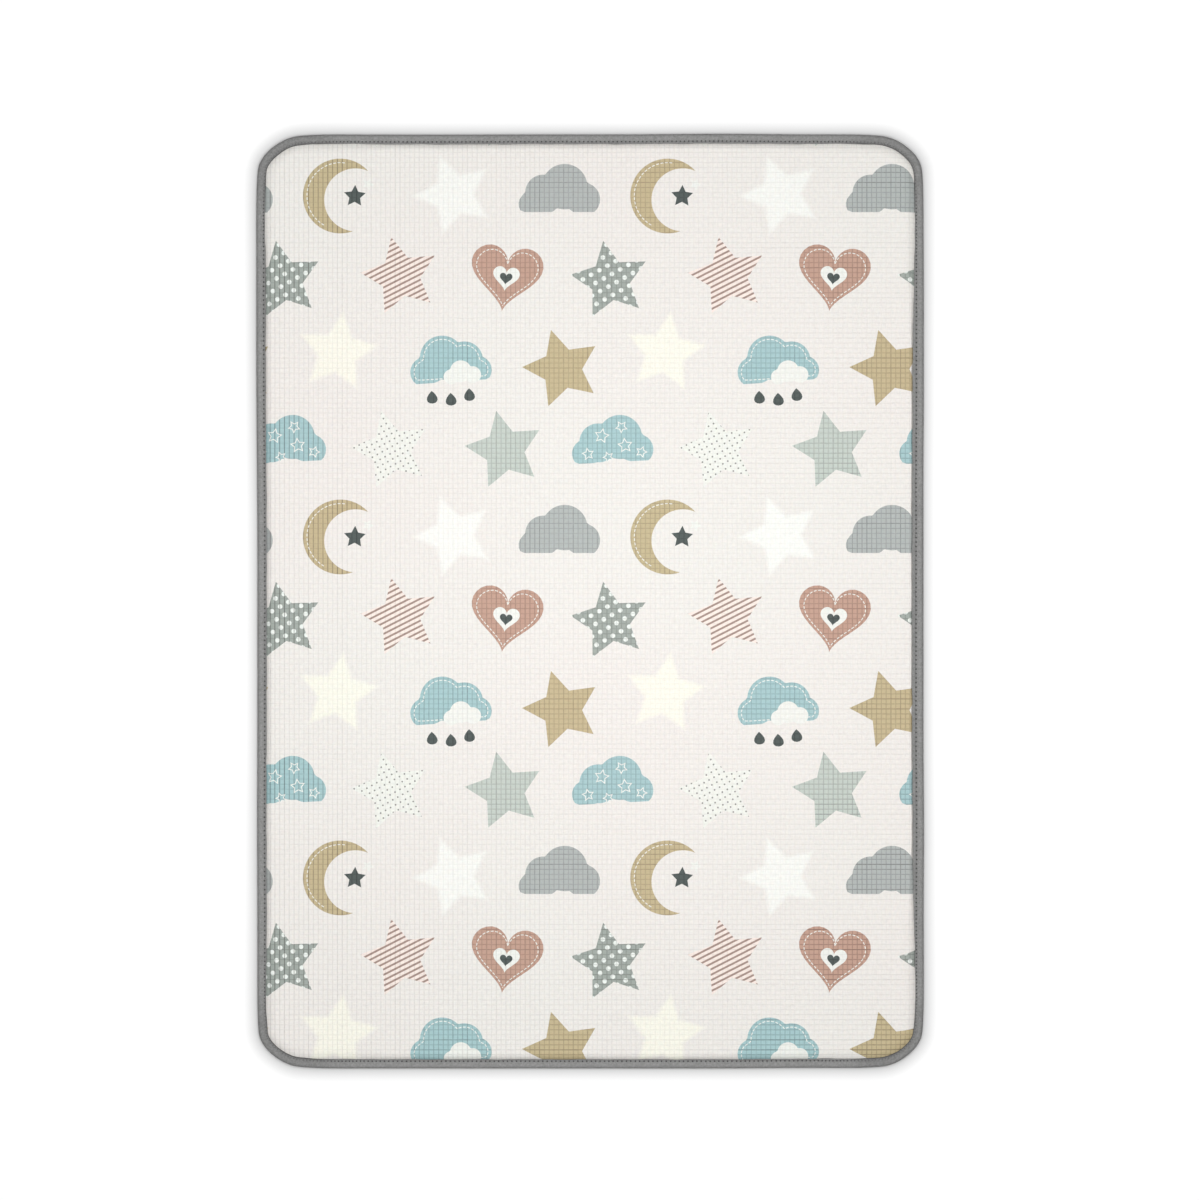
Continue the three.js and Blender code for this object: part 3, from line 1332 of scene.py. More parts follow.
@dataclass(frozen=True)
class PrintedFilm:
    """Matt printed film with an embossed grid of fine lines, darkened partly by ink in the grooves and partly
    by painted shade that is strongest where they would face the light.

    Upright lines run along the mat and level ones across it. Ground means the bare film and the pale inks,
    whose looks have a grid under pale_grid, and ink means the others.
    """

    line: float = 1.25 * MM
    line_soft: float = 0.7 * MM
    line_strength: Span = Span(0.45, 0.55)
    line_skew: float = 1.5
    upright_seed: float = 1.0
    level_seed: float = 2.0
    upright_shade: float = 0.62
    level_shade: float = 0.48
    darkest: float = 0.62
    # The colour that the grooves are multiplied by: partly ink in them and partly painted shade
    groove_shade_colour: tuple[float, ...] = (0.12, 0.1, 0.1, 1)
    pale_grid: float = 0.5
    pale_soft: float = 0.1
    # How the grooves' painted shade changes across the mat and along it, as the light falls on them
    upright_on_ink: Bow = Bow(0.7, -0.76, 2.3)
    level_on_ink: Bow = Bow(1.0, 0.9)
    level_on_ink_along: Bow = Bow(0.7, -0.3, 0.73)
    upright_on_ground: Bow = Bow(0.74, -1.4)
    level_on_ground: Bow = Bow(0.9, 0.54)
    ground_along: Bow = Bow(0.88, -0.16, 0.9)
    waver_scale: float = 260
    waver: Span = Span(0.55, 0.9)
    thread_scale: float = 520
    thread_squeeze: float = 0.22
    thread_shade: float = 0.13
    blotch_scale: float = 240
    blotch_squeeze: float = 0.5
    blotch_tint: float = 0.05
    warm_seed: float = 3.0
    green_seed: float = 7.0
    soil_scale: float = 2.3
    soil_contrast: float = 3
    soil_tint: float = 0.012
    soil_blue: float = 1.5
    dot_soft: float = 0.03
    stripe_soft: float = 0.06
    no_share: float = 0.01
    no_share_soft: float = 0.001
    roughness: Span = Span(0.52, 0.16)
    grain_scale: float = 1400
    grain: float = 0.25
    depth: float = 0.3 * MM

    def _lines(self, nodes: Nodes, place: Value, pitch: float, seed: float) -> tuple[Value, Value]:
        """Draw the grid's lines one way.

        Args:
            nodes: The material's nodes.
            place: The place across the lines.
            pitch: How far apart they are.
            seed: What sets apart the chances of this way's lines.

        Returns:
            The groove's mask, and the same with each line's own strength.
        """
        cells = place / pitch
        off = abs(cells.fraction() - 0.5) * pitch
        groove = off.within(self.line / 2, self.line_soft)
        strength = nodes.chance(cells.floor() % GRID_CELLS, seed)
        return groove, groove * self.line_strength.at(strength**self.line_skew)

    def _where_used(self, cover: Value, share: Value) -> Value:
        """Keep a fill's cover only where the area has a share of it."""
        return cover * (1 - share.within(self.no_share, self.no_share_soft))

    def _inked(self, nodes: Nodes) -> tuple[bpy.types.NodeSocket, Value]:
        """Lay each printed area's inks by its fill.

        Args:
            nodes: The material's nodes.

        Returns:
            The print's colour, and how strongly the grid shows on it.
        """
        ink = nodes.attribute("ink")
        dot_share, stripe_share, grid_share = nodes.parts(nodes.attribute("fill").outputs["Vector"])
        spot_x, spot_y, _ = nodes.parts(nodes.attribute("fill_place").outputs["Vector"])
        off_x, off_y = spot_x.fraction() - 0.5, spot_y.fraction() - 0.5
        dots = ((off_x * off_x + off_y * off_y) ** 0.5).within(dot_share, self.dot_soft)
        stripes = abs(off_y).within(stripe_share, self.stripe_soft)
        second = self._where_used(dots, dot_share).most(self._where_used(stripes, stripe_share))
        colour = nodes.mixed(second, ink.outputs["Color"], nodes.attribute("second").outputs["Color"])
        return colour, grid_share

    def _grid(self, nodes: Nodes, x: Value, y: Value, pale: Value) -> tuple[Value, Value]:
        """Draw the embossed grid both ways.

        Args:
            nodes: The material's nodes.
            x: The place across the mat.
            y: The place along it.
            pale: Where the ground is.

        Returns:
            The grooves' mask, and how dark they look, by ink in them and by painted shade.
        """
        groove_x, shade_x = self._lines(nodes, x, TILE_WIDTH / GRID_CELLS, self.upright_seed)
        groove_y, shade_y = self._lines(nodes, y, TILE_LENGTH / GRID_CELLS, self.level_seed)
        ground = pale * self.ground_along.at(y)
        upright = self.upright_on_ink.at(x) * (1 - pale) + self.upright_on_ground.at(x) * ground
        level = (self.level_on_ink.at(x) * self.level_on_ink_along.at(y) * (1 - pale)
                 + self.level_on_ground.at(x) * ground)
        shade = (shade_x * upright * self.upright_shade).most(shade_y * level * self.level_shade)
        return groove_x.most(groove_y), shade

    def _threads(self, nodes: Nodes, x: Value, y: Value) -> bpy.types.Node:
        """Draw the film's short printed threads, both ways, each a little lighter, darker or warmer.

        Args:
            nodes: The material's nodes.
            x: The place across the mat.
            y: The place along it.

        Returns:
            The colour that the print is multiplied by.
        """
        squeeze, blotch = self.thread_squeeze, self.blotch_squeeze
        upright = nodes.noise(self.thread_scale, nodes.joined(x, y * squeeze), detail=1) - 0.5
        level = nodes.noise(self.thread_scale, nodes.joined(x * squeeze, y), detail=1) - 0.5
        warm_place = nodes.joined(x, y * blotch, self.warm_seed)
        warm = (nodes.noise(self.blotch_scale, warm_place, detail=1) - 0.5) * self.blotch_tint
        green_place = nodes.joined(x * blotch, y, self.green_seed)
        green = (nodes.noise(self.blotch_scale, green_place, detail=1) - 0.5) * self.blotch_tint
        light = 1 + (upright + level) * self.thread_shade
        return nodes.colour(light + warm, light + green, light - warm)

    def _soil(self, nodes: Nodes, place: bpy.types.NodeSocket) -> bpy.types.NodeSocket:
        """Give wide, faint stains between a cool and a warm tint.

        Args:
            nodes: The material's nodes.
            place: The place on the piece.

        Returns:
            The colour that the print is multiplied by.
        """
        wide = nodes.noise(self.soil_scale, place, detail=1) - 0.5
        less = 1 - self.soil_tint
        return nodes.mixed((0.5 + wide * self.soil_contrast).clamped(), (less, 1, less, 1),
                           (1, less, 1 - self.soil_blue * self.soil_tint, 1))

    def material(self) -> bpy.types.Material:
        """Make the film's material.

        Returns:
            The material, which reads each face's inks and fill from the piece.
        """
        finish = Finish("printed_film", Specular_IOR_Level=0.35)
        nodes, place = finish.nodes, finish.object_place()
        x, y, _ = nodes.parts(place)
        colour, grid_share = self._inked(nodes)
        groove, shade = self._grid(nodes, x, y, grid_share.within(self.pale_grid, self.pale_soft))

        waver = nodes.noise(self.waver_scale, place, detail=3)
        # The grooves are darkened partly by ink gathered in them and partly by painted shade, which changes
        # across the mat as the light would fall on them
        grid = (shade * self.waver.at(waver) * grid_share).least(self.darkest)
        darker = nodes.mixed(grid, colour, nodes.multiplied(colour, self.groove_shade_colour))
        threaded = nodes.multiplied(darker, self._threads(nodes, x, y))
        finish.drive("Base Color", nodes.multiplied(threaded, self._soil(nodes, place)))
        finish.drive("Roughness", self.roughness.at(waver))
        grain = nodes.noise(self.grain_scale, place, detail=2)
        finish.relief(grain * self.grain - groove, self.depth)
        return finish.material


@dataclass(frozen=True)
class BackingFilm:
    """Plain off-white backing film with a fine woven emboss."""

    paint: Paint = Paint(232, 229, 223)
    worn: Paint = Paint(222, 219, 213)
    wear_scale: float = 9
    pitch: float = 2.4 * MM
    roughness: Span = Span(0.6, 0.15)
    depth: float = 0.15 * MM
    strength: float = 0.6

    def material(self) -> bpy.types.Material:
        """Make the backing's material.

        Returns:
            The material.
        """
        finish = Finish("backing_film", Specular_IOR_Level=0.3)
        nodes, place = finish.nodes, finish.object_place()
        x, y, _ = nodes.parts(place)
        turn = 2 * math.pi / self.pitch
        weave = (x * turn).sine() * (y * turn).sine()
        wear = nodes.noise(self.wear_scale, place, detail=4)
        finish.drive("Base Color", nodes.mixed(wear, self.paint.linear(), self.worn.linear()))
        finish.drive("Roughness", self.roughness.at(wear))
        finish.relief(weave * 0.5 + 0.5, self.depth, self.strength)
        return finish.material


@dataclass(frozen=True)
class WovenTape:
    """Mid-grey woven tape. Its map runs along one way, a few stitches to 1, and round its section the other.

    The first three sizes are places on that map round the section, and unit is how much of it a metre takes.
    """

    widest: float
    seam: float
    lip: float
    unit: float
    paint: Paint = Paint(158, 158, 157)
    ribs: int = 24
    crosses: int = 64
    weave: Span = Span(0.55, 0.45)
    mottle_scale: float = 330
    cloud_scale: float = 30
    tone: float = 0.88
    weave_tone: float = 0.08
    mottle_tone: float = 1.05
    cloud_tone: float = 0.12
    corner_tone: float = 0.11
    # Painted shade on the bead's rolled outer side, a painted highlight on the flap's middle and painted
    # shade at the flap's lip
    rolled_reach: float = 6 * MM
    rolled_shade: float = 0.3
    flap_light: float = 0.25
    lip_shade: float = 0.3
    lip_power: int = 4
    lip_at_corner: float = 0.6
    corner_flap_from: float = 0.35
    corner_flap_reach: float = 0.45
    corner_flap_shade: float = 0.5
    # Painted shade in the needle's pits
    pit_across: float = 1.45 * MM
    pit_along: float = 0.21
    pit_soft: float = 0.9
    pit_shade: float = 0.86
    pit_at_corner: float = 0.6
    roughness: Span = Span(0.82, 0.12)
    weave_height: float = 0.7
    mottle_height: float = 0.5
    depth: float = 0.22 * MM
    strength: float = 0.7

    def _flap(self, tone: Value, v: Value, corner: Value) -> Value:
        """Paint shade and light on the tape from its rolled edge over the seam to the flap's lip: painted
        shade on the rolled outer side, a painted highlight on the flap's middle and painted shade at the lip,
        spread further over the flap in corners.

        Args:
            tone: The tape's tone so far.
            v: The place round the section.
            corner: How far into a corner of the mat it is.

        Returns:
            The shaded tone.
        """
        # Painted shade on the rolled outer side, a painted highlight on the flap and painted shade at its lip
        rolled = 1 - ((v - self.widest) / (self.rolled_reach * self.unit)).clamped()
        flap = ((v - self.seam) / (self.lip - self.seam)).clamped()
        lip = self.lip_shade * flap**self.lip_power * (1 - self.lip_at_corner * corner)
        tone = tone * (1 - self.rolled_shade * rolled) * (1 + self.flap_light * flap * (1 - flap) - lip)
        # Painted shade that reaches further over the flap towards its lip in the corners
        corner_lip_shadow = ((flap - self.corner_flap_from) / self.corner_flap_reach).clamped()
        return tone * (1 - self.corner_flap_shade * corner * corner_lip_shadow)

    def _pits(self, u: Value, v: Value, corner: Value) -> Value:
        """Paint shade into the needle's pits, less in the corners.

        Args:
            u: The place along the tape.
            v: The place round the section.
            corner: How far into a corner of the mat it is.

        Returns:
            What the tone is multiplied by.
        """
        phase = (u * STITCHES_PER_UNIT + 0.5).fraction() - 0.5
        seam_off = (v - self.seam) / (self.pit_across * self.unit)
        pit = ((phase / self.pit_along) ** 2 + seam_off * seam_off).within(1.0, self.pit_soft)
        return 1 - (self.pit_shade - self.pit_at_corner * corner) * pit

    def material(self) -> bpy.types.Material:
        """Make the tape's material.

        Returns:
            The material, which reads the tape's map and how near a corner it is.
        """
        finish = Finish("woven_tape", Specular_IOR_Level=0.1)
        nodes, place = finish.nodes, finish.object_place()
        u, v, _ = nodes.parts(nodes.add("ShaderNodeUVMap", {"uv_map": BAKE_MAP}).outputs[0])
        rib, cross = u * self.ribs, v * self.crosses
        crossing = ((cross + rib.floor() * 0.5) * (2 * math.pi)).sine()
        over = abs((rib * math.pi).sine()) * self.weave.at(crossing)
        mottle = nodes.noise(self.mottle_scale, place, detail=4, roughness=0.7)
        cloudy = nodes.noise(self.cloud_scale, place, detail=2)
        corner = nodes.number(nodes.attribute("corner"), "Fac")
        tone = (self.tone + self.weave_tone * over + self.mottle_tone * (mottle - 0.5)
                + self.cloud_tone * (cloudy - 0.5) - self.corner_tone * corner)
        tone = self._flap(tone, v, corner) * self._pits(u, v, corner)
        grey = nodes.colour(tone, tone, tone)
        finish.drive("Base Color", nodes.multiplied(grey, self.paint.linear()))
        finish.drive("Roughness", self.roughness.at(mottle))
        finish.relief(over * self.weave_height + mottle * self.mottle_height, self.depth, self.strength)
        return finish.material


@dataclass(frozen=True)
class SewingThread:
    """Grey polyester sewing thread with a fine twist, and painted shade where it dives into its holes."""

    paint: Paint = Paint(158, 158, 157)
    shaded: Paint = Paint(124, 124, 124)
    twist_scale: float = 1500
    middle: float = 3 * MM
    proud: float = 2.6 * MM
    dive_share: float = 0.75
    dive_shadow_colour: tuple[float, ...] = (0.08, 0.08, 0.08, 1)
    roughness: Span = Span(0.55, 0.2)
    depth: float = 0.1 * MM
    strength: float = 0.6

    def material(self) -> bpy.types.Material:
        """Make the thread's material.

        Returns:
            The material.
        """
        finish = Finish("sewing_thread", Specular_IOR_Level=0.35, Sheen_Weight=0.1)
        nodes, place = finish.nodes, finish.object_place()
        twist = nodes.noise(self.twist_scale, place, detail=2)
        # Painted shade where the thread dives down into its holes
        dive_shadow = ((self.proud - abs(nodes.parts(place)[2] - self.middle)) / MM).clamped()
        colour = nodes.mixed(twist, self.paint.linear(), self.shaded.linear())
        finish.drive("Base Color", nodes.mixed(dive_shadow * self.dive_share, colour, self.dive_shadow_colour))
        finish.drive("Roughness", self.roughness.at(twist))
        finish.relief(twist, self.depth, self.strength)
        return finish.material


# Pieces


@dataclass
class PrintedFace:
    """The printed film on the foam, cut along its printed areas.

    Its height sways a little inside the calm rim. Each sway has its waves across and along the mat, where it
    starts and its share.
    """

    edge: EdgeLine
    hidden: float = 11.9 * MM
    ring_pitch: float = 5 * MM
    grid: float = 14 * MM
    grid_inset: float = 32 * MM
    undulation: float = 0.18 * MM
    sways: tuple[tuple[float, float, float, float], ...] = ((17, 5, 0, 1), (-12, 9, 1.3, 1), (0, 31, 4, 0.6))
    sway_middle: float = 1.2
    sway_reach: float = 2.6
    calm: float = 26 * MM
    calm_ease: float = 60 * MM

    def _height(self, flat: np.ndarray) -> np.ndarray:
        """Work out the film's height.

        Args:
            flat: Flat points on it.

        Returns:
            The height of its top at each.
        """
        inset, stations = self.edge.insets(flat)
        height = SIZES.face_height(inset, stations.lap, stations.puff)
        x, y = flat.T
        sway = sum(share * np.sin(across * x + along * y + start)
                   for across, along, start, share in self.sways)
        swaying = self.undulation * (sway - self.sway_middle) * smooth((inset - self.calm) / self.calm_ease)
        return height + swaying / self.sway_reach

    def _paint(self, made: bpy.types.Object, areas: Sequence[Area], owners: np.ndarray) -> None:
        """Store each face's inks and fill, and the print's map.

        Args:
            made: The film, with the faces of its top first.
            areas: The printed areas.
            owners: For each face of its top, its area's number or -1.
        """
        mesh = made.data
        looks = [GROUND, *(area.look for area in areas)]
        number = np.zeros(len(mesh.polygons), int)
        number[:len(owners)] = owners + 1
        inks, seconds = (np.array([paint.linear() for paint in paints])
                         for paints in zip(*((look.ink, look.second) for look in looks), strict=True))
        Stored.COLOUR.on(mesh, "ink", "FACE", inks[number])
        Stored.COLOUR.on(mesh, "second", "FACE", seconds[number])
        Stored.VECTOR.on(mesh, "fill", "FACE", np.array([look.numbers() for look in looks])[number])

        corners = np.empty(len(mesh.loops), np.int32)
        mesh.loops.foreach_get("vertex_index", corners)
        places = np.empty(len(mesh.vertices) * 3)
        mesh.vertices.foreach_get("co", places)
        flat = places.reshape(-1, 3)[corners, :2]
        owner = np.repeat(number, [face.loop_total for face in mesh.polygons])
        off = flat - np.array([(0.0, 0.0), *(area.middle for area in areas)])[owner]
        lean = np.radians(np.array([0.0, *(area.look.lean + area.turn for area in areas)]))[owner]
        pitch = np.array([look.pitch for look in looks])[owner]
        Stored.VECTOR.on(mesh, "fill_place", "CORNER", np.column_stack([
            (off[:, 0] * np.cos(lean) + off[:, 1] * np.sin(lean)) / pitch,
            (off[:, 1] * np.cos(lean) - off[:, 0] * np.sin(lean)) / pitch,
            np.zeros(len(off)),
        ]))
        store_map(mesh, (flat + (TILE_WIDTH / 2, TILE_LENGTH / 2)) / (TILE_WIDTH, TILE_LENGTH))

    @staticmethod
    def _walls(triangles: np.ndarray, count: int) -> np.ndarray:
        """Close the film round its rim.

        Args:
            triangles: The triangles of its top.
            count: How many vertices its top has, before the same again below.

        Returns:
            Rows of four vertex numbers.
        """
        edges = np.concatenate([triangles[:, [0, 1]], triangles[:, [1, 2]], triangles[:, [2, 0]]])
        both, uses = np.unique(np.sort(edges, axis=1), axis=0, return_counts=True)
        rim = {tuple(edge) for edge in both[uses == 1]}
        rim_edges = np.array([edge for edge in edges if tuple(sorted(edge)) in rim])
        return np.column_stack([rim_edges[:, ::-1], rim_edges + count])

    def build(self) -> bpy.types.Object:
        """Build the film as a closed thin sheet.

        Returns:
            The piece.
        """
        stations = self.edge.spaced(self.ring_pitch)
        rings = [stations.inset(self.hidden)]
        for stop in (0.0, *RIM_STOPS):
            rings.append(stations.inset(stations.lap + SIZES.clearance + stations.puff * stop))
        loose = grid_inside(self.edge, self.grid, self.grid_inset)
        areas = Print().areas(self.edge)
        flat, triangles, owners = filled(rings, loose, [area.outline for area in areas])
        used, renumbered = np.unique(triangles, return_inverse=True)
        flat, triangles = flat[used], renumbered.reshape(-1, 3)

        height = self._height(flat)
        upper = np.column_stack([flat, height])
        lower = np.column_stack([flat, height - SIZES.film])
        count = len(upper)
        faces = [*triangles, *(triangles[:, ::-1] + count), *self._walls(triangles, count)]
        made = mesh_object("printed_face", np.concatenate([upper, lower]), faces)
        if len(made.data.polygons) != len(faces):
            log.warning("printed_face lost %d faces", len(faces) - len(made.data.polygons))
        self._paint(made, areas, owners)
        made.data.materials.append(PrintedFilm().material())
        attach(made, "root")
        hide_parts("foam_mat")
        return made


@dataclass
class FoamBody:
    """The soft foam under the printed film, with its plain backing.

    The foam lies a small drop below the film's top. A groove above and below the seam is as wide as the
    nip each way, and the shoulder lies between the bead and the upper groove.
    """

    edge: EdgeLine
    ring_pitch: float = 5 * MM
    bead_steps: int = 8
    nip: float = 1 * MM
    groove: float = 0.9 * MM
    shoulder: float = 2.2 * MM
    shoulder_dip: float = 0.5 * MM
    drop: float = 0.35 * MM
    cap_margin: float = 12 * MM
    cap_grid: float = 40 * MM
    same_point: float = 1e-5

    def _section(self, stations: Stations) -> np.ndarray:
        """Lay out the foam's section from its underside round the bead to its top.

        Args:
            stations: The stations round the edge.

        Returns:
            For each station and section point, its inset and height.
        """
        depth, seam = SIZES.tape + SIZES.clearance, SIZES.seam_inset
        under = SIZES.lower_lap + SIZES.clearance
        bead_top = SIZES.bead_height - depth
        start = stations.lap + SIZES.clearance
        rows = [
            (under, 0.0),
            (under, depth),
            (seam + self.nip, depth),
            (seam, depth + self.groove),
            (seam - self.nip, depth),
            *SIZES.bead(depth, self.bead_steps),
            (seam - self.shoulder, (bead_top + SIZES.seam_height) / 2 - self.shoulder_dip),
            (seam, SIZES.seam_height - 2 * self.groove / 3),
            (seam + self.nip, SIZES.flap_height(seam + self.nip) - self.drop),
            (start, SIZES.flap_height(start) - self.drop),
        ]
        for stop in RIM_STOPS:
            inset = start + stations.puff * stop
            rows.append((inset, SIZES.face_height(inset, stations.lap, stations.puff) - self.drop))
        return stacked(len(stations.point), rows)

    def _numbered(self, flat: np.ndarray, ring_points: np.ndarray, ring: np.ndarray,
                  first: int) -> np.ndarray:
        """Number a cap's points, so that those on the ring are the ring's own vertices.

        Args:
            flat: The cap's flat points.
            ring_points: The ring's flat points.
            ring: The ring's vertex numbers.
            first: The number of the first new vertex.

        Returns:
            The number of each of the cap's points.
        """
        tree = nearest_finder(ring_points)
        number = np.empty(len(flat), int)
        for index, (x, y) in enumerate(flat):
            _, nearest, distance = tree.find((x, y, 0))
            if distance < self.same_point:
                number[index] = ring[nearest]
            else:
                number[index], first = first, first + 1
        return number

    def build(self) -> bpy.types.Object:
        """Build the foam as one closed body.

        Returns:
            The piece.
        """
        stations = self.edge.spaced(self.ring_pitch)
        section = self._section(stations)
        count, points = section.shape[:2]
        vertices = carried(stations, section)
        faces = [*ring_bands(count, points, False)]
        for place, facing_up in ((0, False), (points - 1, True)):
            ring = np.arange(count) * points + place
            outline = vertices[ring][:, :2]
            inset = section[:, place, 0].max() + self.cap_margin
            flat, triangles, _ = filled([outline], grid_inside(self.edge, self.cap_grid, inset), [])
            number = self._numbered(flat, outline, ring, len(vertices))
            new = number >= len(vertices)
            added = np.column_stack([flat[new], np.full(new.sum(), vertices[ring[0], 2])])
            vertices = np.concatenate([vertices, added])
            caps = number[triangles]
            faces.extend(caps if facing_up else caps[:, ::-1])
        made = mesh_object("foam_body", vertices, faces)
        made.data.materials.append(BackingFilm().material())
        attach(made, "root")
        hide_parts("foam_mat")
        return made


@dataclass
class Binding:
    """The woven tape folded round the edge, and the lockstitch that sews it on.

    The thread pulls the tape down by the pinch, by all of it at a stitch's holes. The tape bulges beyond
    the seam, and a dent lies under it. Each of flap_points is a distance from the seam, and the share of
    the flap that it keeps to where the flap is short.
    """

    edge: EdgeLine
    rows_per_stitch: int = 4
    density_step: float = 2 * MM
    unevenness: float = 0.05
    seed: int = 7
    pinch: float = 0.75 * MM
    pull: Span = Span(0.35, 0.65)
    lower_pull: float = 0.3
    dent: float = 0.9 * MM
    dent_edge: float = 0.15 * MM
    dent_start: float = 2.4 * MM
    lift: float = 0.9 * MM
    outer_steps: int = 10
    inner_steps: int = 3
    shoulder_stops: tuple[float, ...] = (0.4, 0.75)
    shoulder_pull_from: float = 0.5
    bulge: float = 0.2
    bulge_ease: float = 1.7 * MM
    flap_pull_reach: float = 1.5 * MM
    flap_points: tuple[tuple[float, float], ...] = ((0.75 * MM, 0.35), (1.7 * MM, 0.65))
    flap_end: float = 0.95
    lip_out: float = 0.1 * MM
    lip_drop: float = 0.25
    lip_in: float = 0.05 * MM
    flap_inside: float = 0.3
    thread: float = 1.0 * MM
    dive: float = 1.15 * MM
    thread_above: float = 0.45 * MM
    thread_below: float = 0.1 * MM
    stitches: np.ndarray = field(init=False)

    def __post_init__(self) -> None:
        """Space the stitches round the edge, each side at its own pitch."""
        chance = np.random.default_rng(self.seed)
        fine = self.edge.spaced(self.density_step)
        density = np.concatenate([[0], np.cumsum(1 / fine.pitch) * self.edge.round_length / len(fine.pitch)])
        places = np.linspace(0, self.edge.round_length, len(density))
        count = STITCHES_PER_UNIT * round(density[-1] / STITCHES_PER_UNIT)
        even = np.arange(count) + chance.uniform(-self.unevenness, self.unevenness, count)
        self.stitches = np.interp(even * density[-1] / count, density, places)

    def _after(self) -> np.ndarray:
        """Give the hole after each stitch's first, as a distance round the edge."""
        return np.append(self.stitches[1:], self.stitches[0] + self.edge.round_length)

    def _rows(self) -> tuple[np.ndarray, np.ndarray]:
        """Lay out the tape's rows, a few to each stitch.

        Returns:
            Each row's distance round the edge, and its place between its stitch's holes.
        """
        phase = np.tile(np.arange(self.rows_per_stitch) / self.rows_per_stitch, len(self.stitches))
        start = np.repeat(self.stitches, self.rows_per_stitch)
        return start + np.repeat(self._after() - self.stitches, self.rows_per_stitch) * phase, phase

    def _section(self, lap: np.ndarray, phase: np.ndarray) -> tuple[np.ndarray, dict[str, int]]:
        """Lay out the tape's section, round its outer face and back along its inner one.

        Args:
            lap: Where the flap ends at each row.
            phase: Each row's place between its stitch's holes.

        Returns:
            For each row and section point, its inset and height. And the numbers of the points where the
            bead is widest, at the seam and at the flap's lip.
        """
        seam, tape, top = SIZES.seam_inset, SIZES.tape, SIZES.bead_height
        seam_top = SIZES.seam_height + SIZES.clearance + tape
        pull = self.pinch * self.pull.at(np.cos(math.pi * phase) ** 4)
        marks = {}
        rows = [
            (SIZES.lower_lap, 0.0),
            (seam + self.dent, self.dent_edge),
            (seam, self.lift + self.lower_pull * pull),
            (seam - self.dent, self.dent_edge),
            (seam - self.dent_start, 0.0),
        ]
        marks["widest"] = len(rows) + self.outer_steps // 2
        rows += SIZES.bead(0, self.outer_steps)
        for share in self.shoulder_stops:
            inset = SIZES.bead_reach + (seam - SIZES.bead_reach) * share
            height = top + (seam_top - top) * smooth(share)
            rows.append((inset, height - pull * max(0.0, share - self.shoulder_pull_from)))
        marks["seam"] = len(rows)
        rows.append((seam, seam_top - pull))

        flap, rise = lap - seam, SIZES.flap_slope
        near, next_near = (np.minimum(off, share * flap) for off, share in self.flap_points)
        for off in (near, next_near, (next_near + flap) / 2, self.flap_end * flap):
            height = (rise * off + self.bulge * (flap - off)) * smooth(off / self.bulge_ease)
            pulled = pull * np.maximum(0, 1 - off / self.flap_pull_reach) / 2
            rows.append((seam + off, seam_top + height - pulled))
        end = seam_top + rise * flap
        marks["lip"] = len(rows)
        rows += [
            (lap + self.lip_out, end - self.lip_drop * tape),
            (lap + self.lip_in, end - tape),
            (seam + self.flap_inside * flap, seam_top - tape + rise * self.flap_inside * flap),
            (seam, seam_top - tape - pull),
            *SIZES.bead(tape, self.inner_steps)[::-1],
            (seam, tape + self.lift + self.lower_pull * pull),
            (SIZES.lower_lap, tape),
        ]
        return stacked(len(phase), rows), marks

    def build(self) -> bpy.types.Object:
        """Build the tape as one closed ring with its map.

        Returns:
            The piece.
        """
        along, phase = self._rows()
        stations = self.edge.at(along)
        section, marks = self._section(stations.lap, phase)
        count, points = section.shape[:2]
        made = mesh_object("binding_tape", carried(stations, section), ring_bands(count, points, True))

        usual = section.mean(axis=0)
        steps = np.linalg.norm(np.diff(usual, axis=0, append=usual[:1]), axis=1)
        round_section = np.concatenate([[0], np.cumsum(steps)]) / steps.sum()
        station = np.repeat(np.arange(count), points)[:, None] + np.array([0, 1, 1, 0])
        band = np.tile(np.arange(points), count)[:, None] + np.array([0, 0, 1, 1])
        unit = self.rows_per_stitch * STITCHES_PER_UNIT
        store_map(made.data, np.stack([station / unit, round_section[band]], axis=-1))
        Stored.NUMBER.on(made.data, "corner", "POINT", np.repeat(stations.corner, points))
        places = {name: float(round_section[point]) for name, point in marks.items()}
        made.data.materials.append(WovenTape(unit=1 / float(steps.sum()), **places).material())
        log.info("tape section %d points, %.1f mm round", points, steps.sum() / MM)
        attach(made, "root")
        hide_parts("edge_binding")
        return made

    def sew(self) -> bpy.types.Object:
        """Lay the thread of every stitch above and below, by Geometry Nodes.

        Returns:
            The piece.
        """
        after = self._after()
        middle = self.edge.at((self.stitches + after) / 2)
        flat = middle.inset(SIZES.seam_inset)
        count = len(flat)
        heading = np.column_stack([middle.inward[:, 1], -middle.inward[:, 0], np.zeros(count)])
        top = SIZES.seam_height + SIZES.clearance + SIZES.tape - self.pinch / 4
        heights = (top + self.thread_above, self.lift - self.thread_below)
        points = np.concatenate([np.column_stack([flat, np.full(count, height)]) for height in heights])
        source = mesh_object("seam_thread", points, [])
        stretch = np.column_stack([np.tile(after - self.stitches, 2), np.ones((2 * count, 2))])
        Stored.VECTOR.on(source.data, "heading", "POINT", np.tile(heading, (2, 1)))
        Stored.VECTOR.on(source.data, "facing", "POINT", np.repeat([[0, 0, 1], [0, 0, -1]], count, axis=0))
        Stored.VECTOR.on(source.data, "stretch", "POINT", stretch)
        made = realized(source, stitch_tree(), {"Thread Width": self.thread, "Dive": self.dive,
                                                "Thread": SewingThread().material()})
        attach(made, "root")
        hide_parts("edge_binding")
        return made


